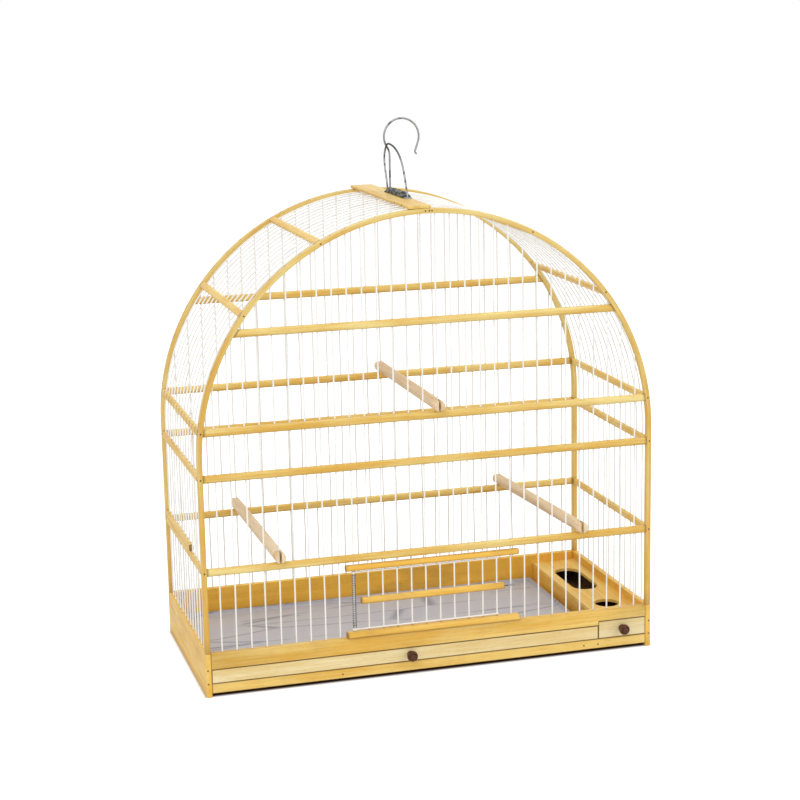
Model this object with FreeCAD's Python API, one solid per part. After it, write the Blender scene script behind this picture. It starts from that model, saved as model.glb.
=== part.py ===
import FreeCAD, Part
import math
import os

# Arched songbird cage. A shallow wooden box carries two bent wooden arches, which are tied together
# by rails, slats and a ridge board. Straight and bent wires run through holes drilled in the wood.
# All lengths are millimetres. X runs to the right along the front, Y to the back, and Z up from the
# surface that the cage stands on. The origin is on that surface, in the middle of the outer size.

# Lattice of wires
wire_pitch = 15.0
front_gap_count = 31
side_gap_count = 14
wire_radius = 0.8
wire_side_count = 5
drill_clearance = 0.12
end_clearance = 0.1
chord_limit_degrees = 9.6

# Bent arches
strip_thickness = 5.0
strip_depth = 7.0
springing_height = 191.0

# Rails along the front and back, with the heights of their centres above the box
rail_heights = {"a": 82.0, "b": 175.5, "c": 221.0, "d": 315.8}
rail_height = 7.5
rail_depth = 6.0
edge_chamfer = 0.9

# Slats along the sides and the roof, the latter placed by their angle from the vertical
slat_width = 7.5
slat_thickness = 5.0
side_slats = ("a", "b", "c")
roof_slat_degrees = {"lower": 52.5, "upper": 27.5}

# Short bar that lies on the lowest left slat, from the back arch forwards
side_bar_height = 7.0
side_bar_first_wire = 5
side_bar_end_margin = 9.0

# Ridge board, a little left of the middle
ridge_width = 24.0
ridge_thickness = 3.0
ridge_right_reach = 3.5

# Base box
board_thickness = 6.0
foot_gap = 4.0
strip_height = 10.0
tray_opening_height = 14.5
front_board_height = 16.5
floor_thickness = 3.0

# Food bay at the right, under a shelf with two openings
food_front_width = 52.5
food_lintel_height = 12.0
shelf_width = 49.0
shelf_thickness = 3.0
shelf_drop = 9.0
partition_thickness = 5.0
round_opening_diameter = 26.0
round_opening_setback = 40.0
long_opening_length = 80.0
long_opening_width = 28.5
long_opening_back_margin = 32.5

# Tray and food drawer
front_play = 0.4
slide_clearance = 0.3
side_play = 1.0
back_play = 2.0
tray_sheet = 0.8
tray_rim = 5.5
food_wall = 2.5
food_floor = 2.0
food_box_clearance = 2.2

# Turned knobs
tray_knob_offset = -26.0
knob_head_radius = 5.5
knob_length = 11.0
knob_foot_radius = 3.8
knob_neck_radius = 2.6
knob_neck_setback = 2.4
knob_face_radius = 2.8
knob_facet_count = 4
knob_pin_radius = 2.0
knob_pin_length = 4.0
knob_pin_clearance = 0.1

# Door in the front, hung on one wire
pivot_wire = 10
catch_wire = 21
door_bar_depth = 6.5
door_bar_overhang = 8.5
lintel_height = 6.0
lintel_rise = 69.0
sill_height = 6.0
sill_front_reach = 6.5
grip_height = 6.5
grip_depth = 6.0
grip_rise = 37.3
grip_overhang = 8.0
leaf_gap = 0.9
leaf_overhang = 1.2
eye_clearance = 0.08
catch_radius = 0.6
catch_clearance = 0.3
catch_overhang = 3.5
catch_pin_length = 5.0

# Closing spring, wound loosely round the pivot wire
spring_wire_radius = 0.4
spring_clearance = 0.55
spring_turns = 14
spring_side_count = 4
spring_arcs_per_turn = 2
spring_samples = 9
spring_end_gap = 0.7

# Perches, each slotted at both ends to straddle one wire
perch_radius = 5.75
perch_front_overhang = 9.0
perch_overhang = 6.0
perch_slot_clearance = 0.4
perch_slot_floor = 1.3
perch_seat_gap = 0.3
perch_places = {"left": (5, 5, "a"), "right": (26, 25, "a"), "upper": (16, 16, "c")}

# Hanger on the ridge board: pressed saddle, bail and hook
saddle_length = 85.0
saddle_width = 9.0
saddle_sheet = 1.0
saddle_setback = 98.0
dome_length = 68.0
dome_height = 6.0
dome_bevel = 1.5
hanger_wire_radius = 0.95
hanger_side_count = 6
hanger_hole_clearance = 0.12
bail_offset = -0.45
bail_foot_spread = 73.0
bail_foot_depth = 2.4
bail_over_kink = 3.3
bail_bulge_reach = 11.5
bail_bulge_rise = 33.0
bail_shoulder_reach = 16.0
bail_shoulder_rise = 36.0
bail_shoulder_degrees = 40.0
bail_knee_inset = 3.0
bail_knee_rise = 9.0
bail_knee_degrees = 64.0
hook_offset = 0.45
hook_shank = 38.0
hook_lean_degrees = 33.5
hook_kink_radius = 15.0
hook_loop_radius = 18.5
hook_loop_degrees = 12.0
hook_tail = 11.5
hook_curl_radius = 2.8
hook_curl_degrees = 70.0
hook_head_radius = 2.3
hook_head_height = 1.0
hook_head_gap = 0.25
overrun = 2.0

# Places worked out from the sizes above
half_width = wire_pitch * front_gap_count / 2
span_depth = wire_pitch * side_gap_count
half_strip = strip_depth / 2
front_y = (knob_length + half_strip - span_depth - perch_overhang) / 2
back_y = front_y + span_depth
box_inner = half_width - board_thickness / 2
box_front = front_y + half_strip
box_back = back_y - half_strip
floor_top = foot_gap + strip_height
base_height = floor_top + tray_opening_height + front_board_height
shelf_top = base_height - shelf_drop
food_left = box_inner - food_front_width
food_opening_height = base_height - food_lintel_height - floor_top
round_opening_y = box_front + round_opening_setback
long_opening_y = box_back - long_opening_back_margin - long_opening_length / 2
shelf_left = box_inner - shelf_width
inner_radius = half_width - strip_thickness / 2
outer_radius = half_width + strip_thickness / 2
springing_z = base_height + springing_height
arch_top = springing_z + outer_radius
ridge_top = arch_top + ridge_thickness
path_length = 2 * springing_height + math.pi * half_width
drill_radius = wire_radius + drill_clearance
lintel_z = base_height + lintel_rise
spring_mean_radius = wire_radius + spring_clearance + spring_wire_radius
grip_z = base_height + grip_rise
leaf_low = base_height + sill_height + leaf_gap + wire_radius
leaf_high = lintel_z - leaf_gap - wire_radius
saddle_x = ridge_right_reach - saddle_width / 2
saddle_y = front_y + saddle_setback
front_wires = range(1, front_gap_count)
side_wires = range(1, side_gap_count)
door_wires = range(pivot_wire + 1, catch_wire)
X_AXIS = FreeCAD.Vector(1, 0, 0)
Y_AXIS = FreeCAD.Vector(0, 1, 0)
Z_AXIS = FreeCAD.Vector(0, 0, 1)
ORIGIN = FreeCAD.Vector(0, 0, 0)


def vec(x, y, z):
    return FreeCAD.Vector(x, y, z)


def block(x0, x1, y0, y1, z0, z1):
    return Part.makeBox(x1 - x0, y1 - y0, z1 - z0, vec(x0, y0, z0))


def eased(bar, axis):
    """A bar with its long edges, which run along one axis, planed off a little."""
    long_edges = []
    for edge in bar.Edges:
        run = edge.Vertexes[-1].Point - edge.Vertexes[0].Point
        if abs(run.dot(axis)) > run.Length / 2:
            long_edges.append(edge)
    return bar.makeChamfer(edge_chamfer, long_edges)


def polygon(centre, across, other, radius, sides):
    """A closed regular polygon in the plane of two unit vectors."""
    corners = []
    for i in range(sides):
        angle = 2 * math.pi * i / sides
        corners.append(centre + across * (radius * math.cos(angle)) + other * (radius * math.sin(angle)))
    return Part.makePolygon(corners + corners[:1])


def prism(start, along, radius, length):
    """A straight run of wire, or a drilled hole for one, from start in a direction."""
    ring = polygon(start, Y_AXIS, along.cross(Y_AXIS), radius, wire_side_count)
    return Part.Face(ring).extrude(along * length)


def wire_x(number):
    """Place of a front or back wire, counted from 1 at the left."""
    return (number - front_gap_count / 2) * wire_pitch


def side_wire_y(number):
    """Place of a side or roof wire, counted from 1 at the front."""
    return front_y + number * wire_pitch


def rail_z(name):
    return base_height + rail_heights[name]


def arch_angle(s):
    """Angle round the arch at path length s: none on the right leg, half a turn on the left."""
    return min(max((s - springing_height) / half_width, 0), math.pi)


def arch_point(s, y=0):
    """Point of the arch's centre line at path length s, from the right foot over to the left."""
    angle = arch_angle(s)
    drop = min(s - springing_height, 0) + min(path_length - springing_height - s, 0)
    return vec(half_width * math.cos(angle), y, springing_z + half_width * math.sin(angle) + drop)


def outward(s):
    """Unit vector out of the arch at path length s."""
    return vec(math.cos(arch_angle(s)), 0, math.sin(arch_angle(s)))


def path_at_height(height):
    """Path length at which the right half of the arch reaches a height above the box."""
    if height <= springing_height:
        return height
    return springing_height + half_width * math.asin((height - springing_height) / half_width)


def path_at_roof_angle(degrees):
    """Path length on the right half of the roof, by the angle from the vertical."""
    return springing_height + half_width * math.radians(90 - degrees)


def ceiling(reach):
    """Height of the arch's underside over a distance from the middle."""
    return springing_z + math.sqrt(inner_radius ** 2 - reach ** 2)


def arch(y):
    """Bent strip: the region between two round-headed outlines, as deep as the strip."""
    def outline(radius):
        y0 = y - half_strip
        feet = [vec(side * radius, y0, base_height) for side in (-1, 1)]
        springings = [vec(side * radius, y0, springing_z) for side in (-1, 1)]
        head = Part.Arc(springings[0], vec(0, y0, springing_z + radius), springings[1]).toShape()
        legs = [Part.makeLine(feet[0], springings[0]), Part.makeLine(springings[1], feet[1])]
        return feet, [legs[0], head, legs[1]]

    outer_feet, outer_edges = outline(outer_radius)
    inner_feet, inner_edges = outline(inner_radius)
    ends = [Part.makeLine(outer_feet[i], inner_feet[i]) for i in (0, 1)]
    face = Part.Face(Part.Wire(Part.__sortEdges__(outer_edges + inner_edges + ends)))
    return face.extrude(Y_AXIS * strip_depth)


def arch_interior():
    """The space inside the arches, which trims the ends of the rails to the curve."""
    radius = inner_radius - end_clearance
    y0 = front_y - strip_depth
    y1 = back_y + strip_depth
    walls = block(-radius, radius, y0, y1, base_height, springing_z)
    vault = Part.makeCylinder(radius, y1 - y0, vec(0, y0, springing_z), Y_AXIS)
    return walls.fuse(vault)


def upright(number, y, z0, z1, radius):
    """A straight wire of the front or back, or its hole. The door's pivot is round."""
    if number == pivot_wire and y == front_y:
        return Part.makeCylinder(radius, z1 - z0, vec(wire_x(number), y, z0))
    return prism(vec(wire_x(number), y, z0), Z_AXIS, radius, z1 - z0)


def uprights(numbers, y, z0):
    """Wires from z0 up to the underside of the arch."""
    tops = [ceiling(abs(wire_x(n)) + wire_radius) - end_clearance for n in numbers]
    return Part.makeCompound([upright(n, y, z0, top, wire_radius) for n, top in zip(numbers, tops)])


def drilled(bar, numbers, y):
    """A bar along X with a hole through it for each numbered wire."""
    z0 = bar.BoundBox.ZMin - overrun
    z1 = bar.BoundBox.ZMax + overrun
    return bar.cut([upright(n, y, z0, z1, drill_radius) for n in numbers])


def rail(name, y):
    """A rail between the legs of one arch, drilled for every wire that reaches it."""
    z0 = rail_z(name) - rail_height / 2
    bar = block(-half_width, half_width, y - rail_depth / 2, y + rail_depth / 2, z0, z0 + rail_height)
    bar = eased(bar, X_AXIS).common(arch_interior())
    reached = [n for n in front_wires if ceiling(abs(wire_x(n)) + wire_radius) > z0]
    return drilled(bar, reached, y)


def slat(s, y0, y1, width, holes):
    """A slat across the depth at path length s of the arch, drilled for the side wires or plain."""
    bar = eased(block(-slat_thickness / 2, slat_thickness / 2, y0, y1, -width / 2, width / 2), Y_AXIS)
    if holes:
        length = width + 2 * overrun
        crossed = [side_wire_y(n) for n in side_wires if y0 < side_wire_y(n) < y1]
        bar = bar.cut([prism(vec(0, y, -length / 2), Z_AXIS, drill_radius, length) for y in crossed])
    bar.rotate(ORIGIN, Y_AXIS, -math.degrees(arch_angle(s)))
    bar.translate(arch_point(s))
    return bar


def bend_stations(s0, s1):
    """Path lengths for the sections of a side wire: its two ends and, where it is bent, short chords."""
    bend0 = max(s0, springing_height)
    bend1 = min(s1, path_length - springing_height)
    if bend1 <= bend0:
        return [s0, s1]
    chords = math.ceil(math.degrees((bend1 - bend0) / half_width) / chord_limit_degrees)
    bends = [bend0 + (bend1 - bend0) * i / chords for i in range(chords + 1)]
    return sorted(set([s0] + bends + [s1]))


def bent_wire(s0, s1, y):
    """One side wire between two places on the arch: polygon sections joined by a ruled loft."""
    sections = [polygon(arch_point(s, y), Y_AXIS, outward(s), wire_radius, wire_side_count)
                for s in bend_stations(s0, s1)]
    return Part.makeLoft(sections, True, True)


def bent_wires(s0, s1):
    return Part.makeCompound([bent_wire(s0, s1, side_wire_y(n)) for n in side_wires])


def mirrored(shape):
    return shape.mirror(ORIGIN, X_AXIS)


def knob(x, z):
    """Turned knob: pin, flared foot, neck and a rounded head cut in straight facets."""
    flat = math.acos(knob_face_radius / knob_head_radius)
    facets = [flat - i * 2 * flat / knob_facet_count for i in range(knob_facet_count + 1)]
    head_centre = knob_length - knob_head_radius * math.sin(flat)
    outline = [(0, -knob_pin_length), (knob_pin_radius, -knob_pin_length), (knob_pin_radius, 0),
               (knob_foot_radius, 0), (knob_neck_radius, knob_neck_setback)]
    outline += [(knob_head_radius * math.cos(a), head_centre + knob_head_radius * math.sin(a))
                for a in reversed(facets)]
    outline.append((0, knob_length))
    corners = [vec(radius, -forward, 0) for radius, forward in outline]
    turned = Part.Face(Part.makePolygon(corners + corners[:1])).revolve(ORIGIN, Y_AXIS, 360)
    turned.translate(vec(x, front_y - half_strip, z))
    return turned


def drawer_front(x0, x1, z0, z1, knob_x):
    """Wooden front of a drawer, with the hole for its knob's pin."""
    board = block(x0, x1, front_y - half_strip, box_front, z0, z1)
    hole = Part.makeCylinder(knob_pin_radius + knob_pin_clearance, knob_pin_length + knob_pin_clearance + overrun,
                             vec(knob_x, front_y - half_strip - overrun, (z0 + z1) / 2), Y_AXIS)
    return board.cut(hole)


def arcs_between(start, heading, end, end_heading):
    """Two tangent arcs from a point and heading to another point and heading."""
    gap = end - start
    both = heading + end_heading
    a = both.dot(both) - 4
    b = -2 * gap.dot(both)
    c = gap.dot(gap)
    if abs(a) < 1e-9:
        reach = -c / b
    else:
        reach = (-b - math.sqrt(b * b - 4 * a * c)) / (2 * a)
    corners = (start + heading * reach, end - end_heading * reach)
    joint = (corners[0] + corners[1]) / 2
    edges = []
    for p, q, corner in ((start, joint, corners[0]), (joint, end, corners[1])):
        half_chord = (q - p).Length / 2
        middle = (p + q) / 2
        turn = math.acos(min(half_chord / reach, 1))
        rise = half_chord * math.tan(turn / 2)
        to_corner = corner - middle
        bulge = middle + to_corner * (rise / to_corner.Length)
        edges.append(Part.Arc(p, bulge, q).toShape())
    return edges


def tube(edges, radius, sides):
    """A wire of polygon section along joined arcs and lines."""
    path = Part.Wire(edges)
    first = edges[0]
    along = first.tangentAt(first.FirstParameter)
    across = along.cross(X_AXIS)
    if across.Length < 0.5:
        across = along.cross(Y_AXIS)
    across.normalize()
    ring = polygon(first.valueAt(first.FirstParameter), across, along.cross(across), radius, sides)
    return path.makePipeShell([ring], True, False)


def spring_point(turn, pitch, z0):
    """Point and heading of the closing spring's centre line after a number of turns."""
    angle = 2 * math.pi * turn
    place = vec(wire_x(pivot_wire) + spring_mean_radius * math.cos(angle),
                front_y + spring_mean_radius * math.sin(angle), z0 + pitch * turn)
    heading = vec(-spring_mean_radius * math.sin(angle), spring_mean_radius * math.cos(angle),
                  pitch / (2 * math.pi))
    return place, heading.normalize()


def spring():
    """Closing spring: one unbroken tube of arcs round the pivot wire, between the door's eyes."""
    z0 = leaf_low + wire_radius + spring_end_gap + spring_wire_radius
    z1 = leaf_high - wire_radius - spring_end_gap - spring_wire_radius
    pitch = (z1 - z0) / spring_turns
    count = spring_arcs_per_turn * spring_turns
    stations = [spring_point(i / spring_arcs_per_turn, pitch, z0) for i in range(count + 1)]
    edges = []
    for (start, heading), (end, end_heading) in zip(stations, stations[1:]):
        edges += arcs_between(start, heading, end, end_heading)
    points = [point for edge in edges for point in edge.discretize(spring_samples)[:-1]]
    per_turn = len(points) // spring_turns
    nearest = min((points[i] - points[j]).Length for i in range(len(points))
                  for j in range(i + per_turn // 2, min(i + 2 * per_turn, len(points))))
    print("least gap of the spring to itself, mm:", round(nearest - 2 * spring_wire_radius, 3))
    return tube(edges, spring_wire_radius, spring_side_count)


def door_eye(z):
    """Ring of wire round the pivot."""
    mean = 2 * wire_radius + eye_clearance
    pivot = vec(wire_x(pivot_wire), front_y, z)
    ring = polygon(pivot + X_AXIS * mean, -X_AXIS, Z_AXIS, wire_radius, wire_side_count)
    return Part.Face(ring).revolve(pivot, Z_AXIS, 360), pivot.x + mean


def door_leaf():
    """Wire leaf: uprights between two cross wires, which end in eyes round the pivot."""
    pieces = [prism(vec(wire_x(n), front_y, leaf_low), Z_AXIS, wire_radius, leaf_high - leaf_low)
              for n in door_wires]
    end = wire_x(door_wires[-1]) + wire_radius + leaf_overhang
    for z in (leaf_low, leaf_high):
        eye, start = door_eye(z)
        pieces += [eye, prism(vec(start, front_y, z), X_AXIS, wire_radius, end - start)]
    return pieces[0].fuse(pieces[1:])


def door_bar(x0, x1, front_reach, back_reach, z0, height, numbers):
    """A wooden bar of the door or its opening, drilled for the numbered wires."""
    bar = block(x0, x1, front_y - front_reach, front_y + back_reach, z0, z0 + height)
    return drilled(eased(bar, X_AXIS), numbers, front_y)


def catch_run(start, length, radius):
    """The catch wire, or its hole, at the height of the grip and in front of its wire."""
    y = front_y - wire_radius - catch_clearance - catch_radius
    return prism(vec(start, y, grip_z), X_AXIS, radius, length)


def perch(front_number, back_number, rail_name):
    """Round perch on the rails, from one wire in front to one at the back, with a slot for each wire."""
    z = rail_z(rail_name) + rail_height / 2 + perch_seat_gap + perch_radius
    front = vec(wire_x(front_number), front_y, z)
    back = vec(wire_x(back_number), back_y, z)
    along = (back - front).normalize()
    spare = 2 * perch_front_overhang
    rod = Part.makeCylinder(perch_radius, (back - front).Length + 2 * spare, front - along * spare, along)
    y0 = front_y - perch_front_overhang
    y1 = back_y + perch_overhang
    low = z - perch_radius - overrun
    high = z + perch_radius + overrun
    half_slot = wire_radius + perch_slot_clearance
    reach = wire_radius + perch_slot_floor
    front_slot = block(front.x - half_slot, front.x + half_slot, y0 - overrun, front_y + reach, low, high)
    back_slot = block(back.x - half_slot, back.x + half_slot, back_y - reach, y1 + overrun, low, high)
    trimmed = rod.common(block(-half_width, half_width, y0, y1, low, high))
    return trimmed.cut([front_slot, back_slot])


def stadium(x, y, length, width, z0, height):
    """A plate with round ends, long from front to back."""
    run = length - width
    straight = block(x - width / 2, x + width / 2, y - run / 2, y + run / 2, z0, z0 + height)
    ends = [Part.makeCylinder(width / 2, height, vec(x, y + side * run / 2, z0)) for side in (-1, 1)]
    return straight.fuse(ends).removeSplitter()


def bail_foot_holes(z0, height):
    radius = hanger_wire_radius + hanger_hole_clearance
    return [Part.makeCylinder(radius, height, vec(saddle_x + bail_offset, saddle_y + side * bail_foot_spread / 2, z0))
            for side in (-1, 1)]


def hook_axis():
    """The hook turns in the round of the dome's back end."""
    return vec(saddle_x + hook_offset, saddle_y + dome_length / 2 - saddle_width / 2, ridge_top)


def dome(inset):
    """The saddle's dome with bevelled upper edges, or the hollow inside it, a sheet's thickness smaller."""
    height = dome_height - inset
    form = stadium(saddle_x, saddle_y, dome_length - 2 * inset, saddle_width - 2 * inset, ridge_top, height)
    crown = [edge for edge in form.Edges if edge.BoundBox.ZMin > ridge_top + height / 2]
    return form.makeChamfer(dome_bevel - inset, crown)


def saddle():
    """Pressed saddle: a thin flange with a hollow dome, pierced for the bail's feet and the hook."""
    flange = stadium(saddle_x, saddle_y, saddle_length, saddle_width, ridge_top, saddle_sheet)
    shank_hole = Part.makeCylinder(hanger_wire_radius + hanger_hole_clearance, dome_height + overrun, hook_axis())
    holes = bail_foot_holes(ridge_top - overrun, saddle_sheet + 2 * overrun)
    return dome(0).fuse(flange).cut([dome(saddle_sheet), shank_hole] + holes)


def bail():
    """Wire bail that leans back over the hook, so that the hook lifts it."""
    def station(y, rise, degrees):
        """A point of the bail and its heading, turned from straight back towards straight up."""
        heading = math.radians(degrees)
        return vec(saddle_x + bail_offset, y, ridge_top + rise), vec(0, math.cos(heading), math.sin(heading))

    back_foot = saddle_y + bail_foot_spread / 2
    front_foot = saddle_y - bail_foot_spread / 2
    top_rise = hook_shank + hook_kink_radius * math.sin(math.radians(hook_lean_degrees)) + bail_over_kink
    stations = [
        station(back_foot, saddle_sheet, 90),
        station(back_foot + bail_bulge_reach, bail_bulge_rise, 90),
        station(hook_axis().y, top_rise, 180),
        station(saddle_y - bail_shoulder_reach, bail_shoulder_rise, 180 + bail_shoulder_degrees),
        station(front_foot + bail_knee_inset, bail_knee_rise, 180 + bail_knee_degrees),
        station(front_foot, saddle_sheet, 270),
    ]
    down = Z_AXIS * (saddle_sheet + bail_foot_depth)
    edges = [Part.makeLine(stations[0][0] - down, stations[0][0])]
    for (start, heading), (end, end_heading) in zip(stations, stations[1:]):
        edges += arcs_between(start, heading, end, end_heading)
    edges.append(Part.makeLine(stations[-1][0], stations[-1][0] - down))
    return tube(edges, hanger_wire_radius, hanger_side_count)


def hook():
    """Hook of one wire: headed shank, kink under the bail, open loop, tail and curled tip."""
    axis = hook_axis()
    lean = math.radians(hook_lean_degrees)
    close = math.radians(hook_loop_degrees)
    curl = math.radians(hook_curl_degrees)

    def at(centre, radius, angle):
        return centre + vec(radius * math.cos(angle), 0, radius * math.sin(angle))

    head_top = dome_height - saddle_sheet - hook_head_gap
    foot = axis + Z_AXIS * head_top
    shoulder = axis + Z_AXIS * hook_shank
    kink_centre = shoulder - X_AXIS * hook_kink_radius
    kink_end = at(kink_centre, hook_kink_radius, lean)
    loop_centre = at(kink_end, hook_loop_radius, lean)
    loop_end = at(loop_centre, hook_loop_radius, -close)
    heading = vec(-math.sin(close), 0, -math.cos(close))
    tail_end = loop_end + heading * hook_tail
    curl_centre = tail_end + vec(math.cos(close), 0, -math.sin(close)) * hook_curl_radius
    curl_start = math.pi - close
    edges = [
        Part.makeLine(foot, shoulder),
        Part.Arc(shoulder, at(kink_centre, hook_kink_radius, lean / 2), kink_end).toShape(),
        Part.Arc(kink_end, at(loop_centre, hook_loop_radius, math.pi / 2 + (lean + close) / 2), loop_end).toShape(),
        Part.makeLine(loop_end, tail_end),
        Part.Arc(tail_end, at(curl_centre, hook_curl_radius, curl_start + curl / 2),
                 at(curl_centre, hook_curl_radius, curl_start + curl)).toShape(),
    ]
    wire = tube(edges, hanger_wire_radius, hanger_side_count)
    head = Part.makeCylinder(hook_head_radius, hook_head_height, foot - Z_AXIS * hook_head_height)
    return wire.fuse(head)


def base_parts():
    """The box: boards, floor and the food bay's shelf and partition."""
    y0 = front_y - half_strip
    y1 = back_y + half_strip
    outer = box_inner + board_thickness
    board = block(-box_inner, box_inner, y0, box_front, base_height - front_board_height, base_height)
    notch = block(food_left, box_inner, y0 - overrun, box_front + overrun, floor_top,
                  floor_top + food_opening_height)
    shelf = block(shelf_left, box_inner, box_front, box_back, shelf_top - shelf_thickness, shelf_top)
    middle = (shelf_left + box_inner) / 2
    cut_z = shelf_top - shelf_thickness - overrun
    cut_height = shelf_thickness + 2 * overrun
    openings = [
        Part.makeCylinder(round_opening_diameter / 2, cut_height, vec(middle, round_opening_y, cut_z)),
        stadium(middle, long_opening_y, long_opening_length, long_opening_width, cut_z, cut_height),
    ]
    right_board = block(box_inner, outer, y0, y1, 0, base_height)
    return {
        "side_board_left": mirrored(right_board),
        "side_board_right": right_board,
        "front_board": board.cut(notch),
        "front_strip": block(-box_inner, box_inner, y0, box_front, foot_gap, floor_top),
        "back_board": block(-box_inner, box_inner, box_back, y1, foot_gap, base_height),
        "floor_panel": block(-box_inner, box_inner, box_front, box_back, floor_top - floor_thickness, floor_top),
        "feeder_shelf": shelf.cut(openings),
        "feeder_partition": block(shelf_left, shelf_left + partition_thickness, box_front + front_play, box_back,
                                  floor_top, shelf_top - shelf_thickness),
    }


def tray_parts():
    """Sliding tray: sheet pan with three low rims and a turned-up front behind its wooden front."""
    x0 = -box_inner + side_play
    x1 = food_left - side_play
    y1 = box_back - back_play
    z0 = floor_top + slide_clearance
    top = floor_top + tray_opening_height - front_play
    pan = block(x0, x1, box_front, y1, z0, z0 + tray_rim)
    pan = pan.cut(block(x0 + tray_sheet, x1 - tray_sheet, box_front - overrun, y1 - tray_sheet,
                        z0 + tray_sheet, z0 + tray_rim + overrun))
    pan = pan.fuse(block(x0, x1, box_front, box_front + tray_sheet, z0, top)).removeSplitter()
    low = floor_top + front_play
    return {
        "tray_pan": pan,
        "tray_front": drawer_front(-box_inner + front_play, food_left - front_play, low, top, tray_knob_offset),
        "tray_knob": knob(tray_knob_offset, (low + top) / 2),
    }


def food_drawer_parts():
    """Food drawer: an open wooden box with one divider, its front and knob."""
    x0 = shelf_left + partition_thickness + side_play
    x1 = box_inner - side_play
    y1 = box_back - back_play
    z0 = floor_top + slide_clearance
    z1 = min(shelf_top - shelf_thickness, floor_top + food_opening_height) - food_box_clearance
    inner_floor = z0 + food_floor
    divider = (round_opening_y + round_opening_diameter / 2 + long_opening_y - long_opening_length / 2) / 2
    box = block(x0, x1, box_front, y1, z0, z1)
    rooms = [(box_front + food_wall, divider - food_wall / 2), (divider + food_wall / 2, y1 - food_wall)]
    box = box.cut([block(x0 + food_wall, x1 - food_wall, a, b, inner_floor, z1 + overrun) for a, b in rooms])
    low = floor_top + front_play
    high = floor_top + food_opening_height - front_play
    middle = (food_left + box_inner) / 2
    return {
        "food_drawer_box": box,
        "food_drawer_front": drawer_front(food_left + front_play, box_inner - front_play, low, high, middle),
        "food_drawer_knob": knob(middle, (low + high) / 2),
    }


def body_parts():
    """Arches, rails, slats and ridge board."""
    parts = {"arch_front": arch(front_y), "arch_back": arch(back_y)}
    for name in rail_heights:
        parts["rail_front_" + name] = rail(name, front_y)
        parts["rail_back_" + name] = rail(name, back_y)
    for name in side_slats:
        piece = slat(path_at_height(rail_heights[name]), box_front, box_back, slat_width, name != side_slats[-1])
        parts["slat_right_" + name] = piece
        parts["slat_left_" + name] = mirrored(piece)
    for name, degrees in roof_slat_degrees.items():
        piece = slat(path_at_roof_angle(degrees), box_front, box_back, slat_width, False)
        parts["slat_roof_right_" + name] = piece
        parts["slat_roof_left_" + name] = mirrored(piece)
    bar_y = side_wire_y(side_bar_first_wire) - side_bar_end_margin
    bar_s = rail_heights[side_slats[0]] + (slat_width + side_bar_height) / 2
    parts["side_bar_left"] = mirrored(slat(bar_s, bar_y, box_back, side_bar_height, True))
    ridge = block(ridge_right_reach - ridge_width, ridge_right_reach, front_y - half_strip, back_y + half_strip,
                  arch_top, ridge_top)
    parts["ridge_board"] = ridge.cut(bail_foot_holes(arch_top - overrun, ridge_thickness + 2 * overrun))
    return parts


def wire_parts():
    """Wires of the front, back, sides and roof."""
    below_door = [n for n in front_wires if n <= pivot_wire]
    above_door = list(door_wires)
    beyond_door = [n for n in front_wires if n >= catch_wire]
    last_slat = path_at_height(rail_heights[side_slats[-1]])
    lower, upper = [path_at_roof_angle(degrees) for degrees in roof_slat_degrees.values()]
    end = slat_width / 2 + end_clearance
    side = bent_wires(0, last_slat - end)
    roof_lower = bent_wires(last_slat + end, lower - end)
    roof_upper = bent_wires(lower + end, upper - end)
    return {
        "wires_front_left": uprights(below_door, front_y, base_height),
        "wires_front_middle": uprights(above_door, front_y, lintel_z),
        "wires_front_right": uprights(beyond_door, front_y, base_height),
        "wires_back": uprights(front_wires, back_y, base_height),
        "wires_right": side,
        "wires_left": mirrored(side),
        "wires_roof_right_lower": roof_lower,
        "wires_roof_left_lower": mirrored(roof_lower),
        "wires_roof_right_upper": roof_upper,
        "wires_roof_left_upper": mirrored(roof_upper),
        "wires_roof_crown": bent_wires(upper + end, path_length - upper - end),
    }


def door_parts():
    """Door: fixed lintel and sill, swinging leaf with its grip and catch, and the closing spring."""
    x0 = wire_x(pivot_wire)
    x1 = wire_x(catch_wire)
    grip_left = wire_x(door_wires[0]) - grip_overhang
    grip_right = wire_x(door_wires[-1]) + grip_overhang
    half_grip = grip_depth / 2
    half_bar = door_bar_depth / 2
    grip = door_bar(grip_left, grip_right, half_grip, half_grip, grip_z - grip_height / 2, grip_height, door_wires)
    socket = catch_run(grip_right - catch_pin_length, catch_pin_length + overrun, catch_radius + drill_clearance)
    catch_start = grip_right - catch_pin_length + end_clearance
    return {
        "door_lintel": door_bar(x0 - door_bar_overhang, x1 + door_bar_overhang, half_bar, half_bar, lintel_z,
                                lintel_height, range(pivot_wire, catch_wire + 1)),
        "door_sill": door_bar(x0 - door_bar_overhang, x1 + door_bar_overhang, sill_front_reach, half_bar,
                              base_height, sill_height, (pivot_wire, catch_wire)),
        "door_leaf": door_leaf(),
        "door_grip": grip.cut(socket),
        "door_catch": catch_run(catch_start, x1 + catch_overhang - catch_start, catch_radius),
        "door_spring": spring(),
    }


def fitting_parts():
    """Perches and hanger."""
    parts = {"perch_" + name: perch(*place) for name, place in perch_places.items()}
    parts["hanger_saddle"] = saddle()
    parts["hanger_bail"] = bail()
    parts["hanger_hook"] = hook()
    return parts


os.makedirs("parts", exist_ok=True)
for group in (base_parts, tray_parts, food_drawer_parts, body_parts, wire_parts, door_parts, fitting_parts):
    for node, shape in group().items():
        shape.exportStep("parts/" + node + ".step")
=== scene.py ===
import math

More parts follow.
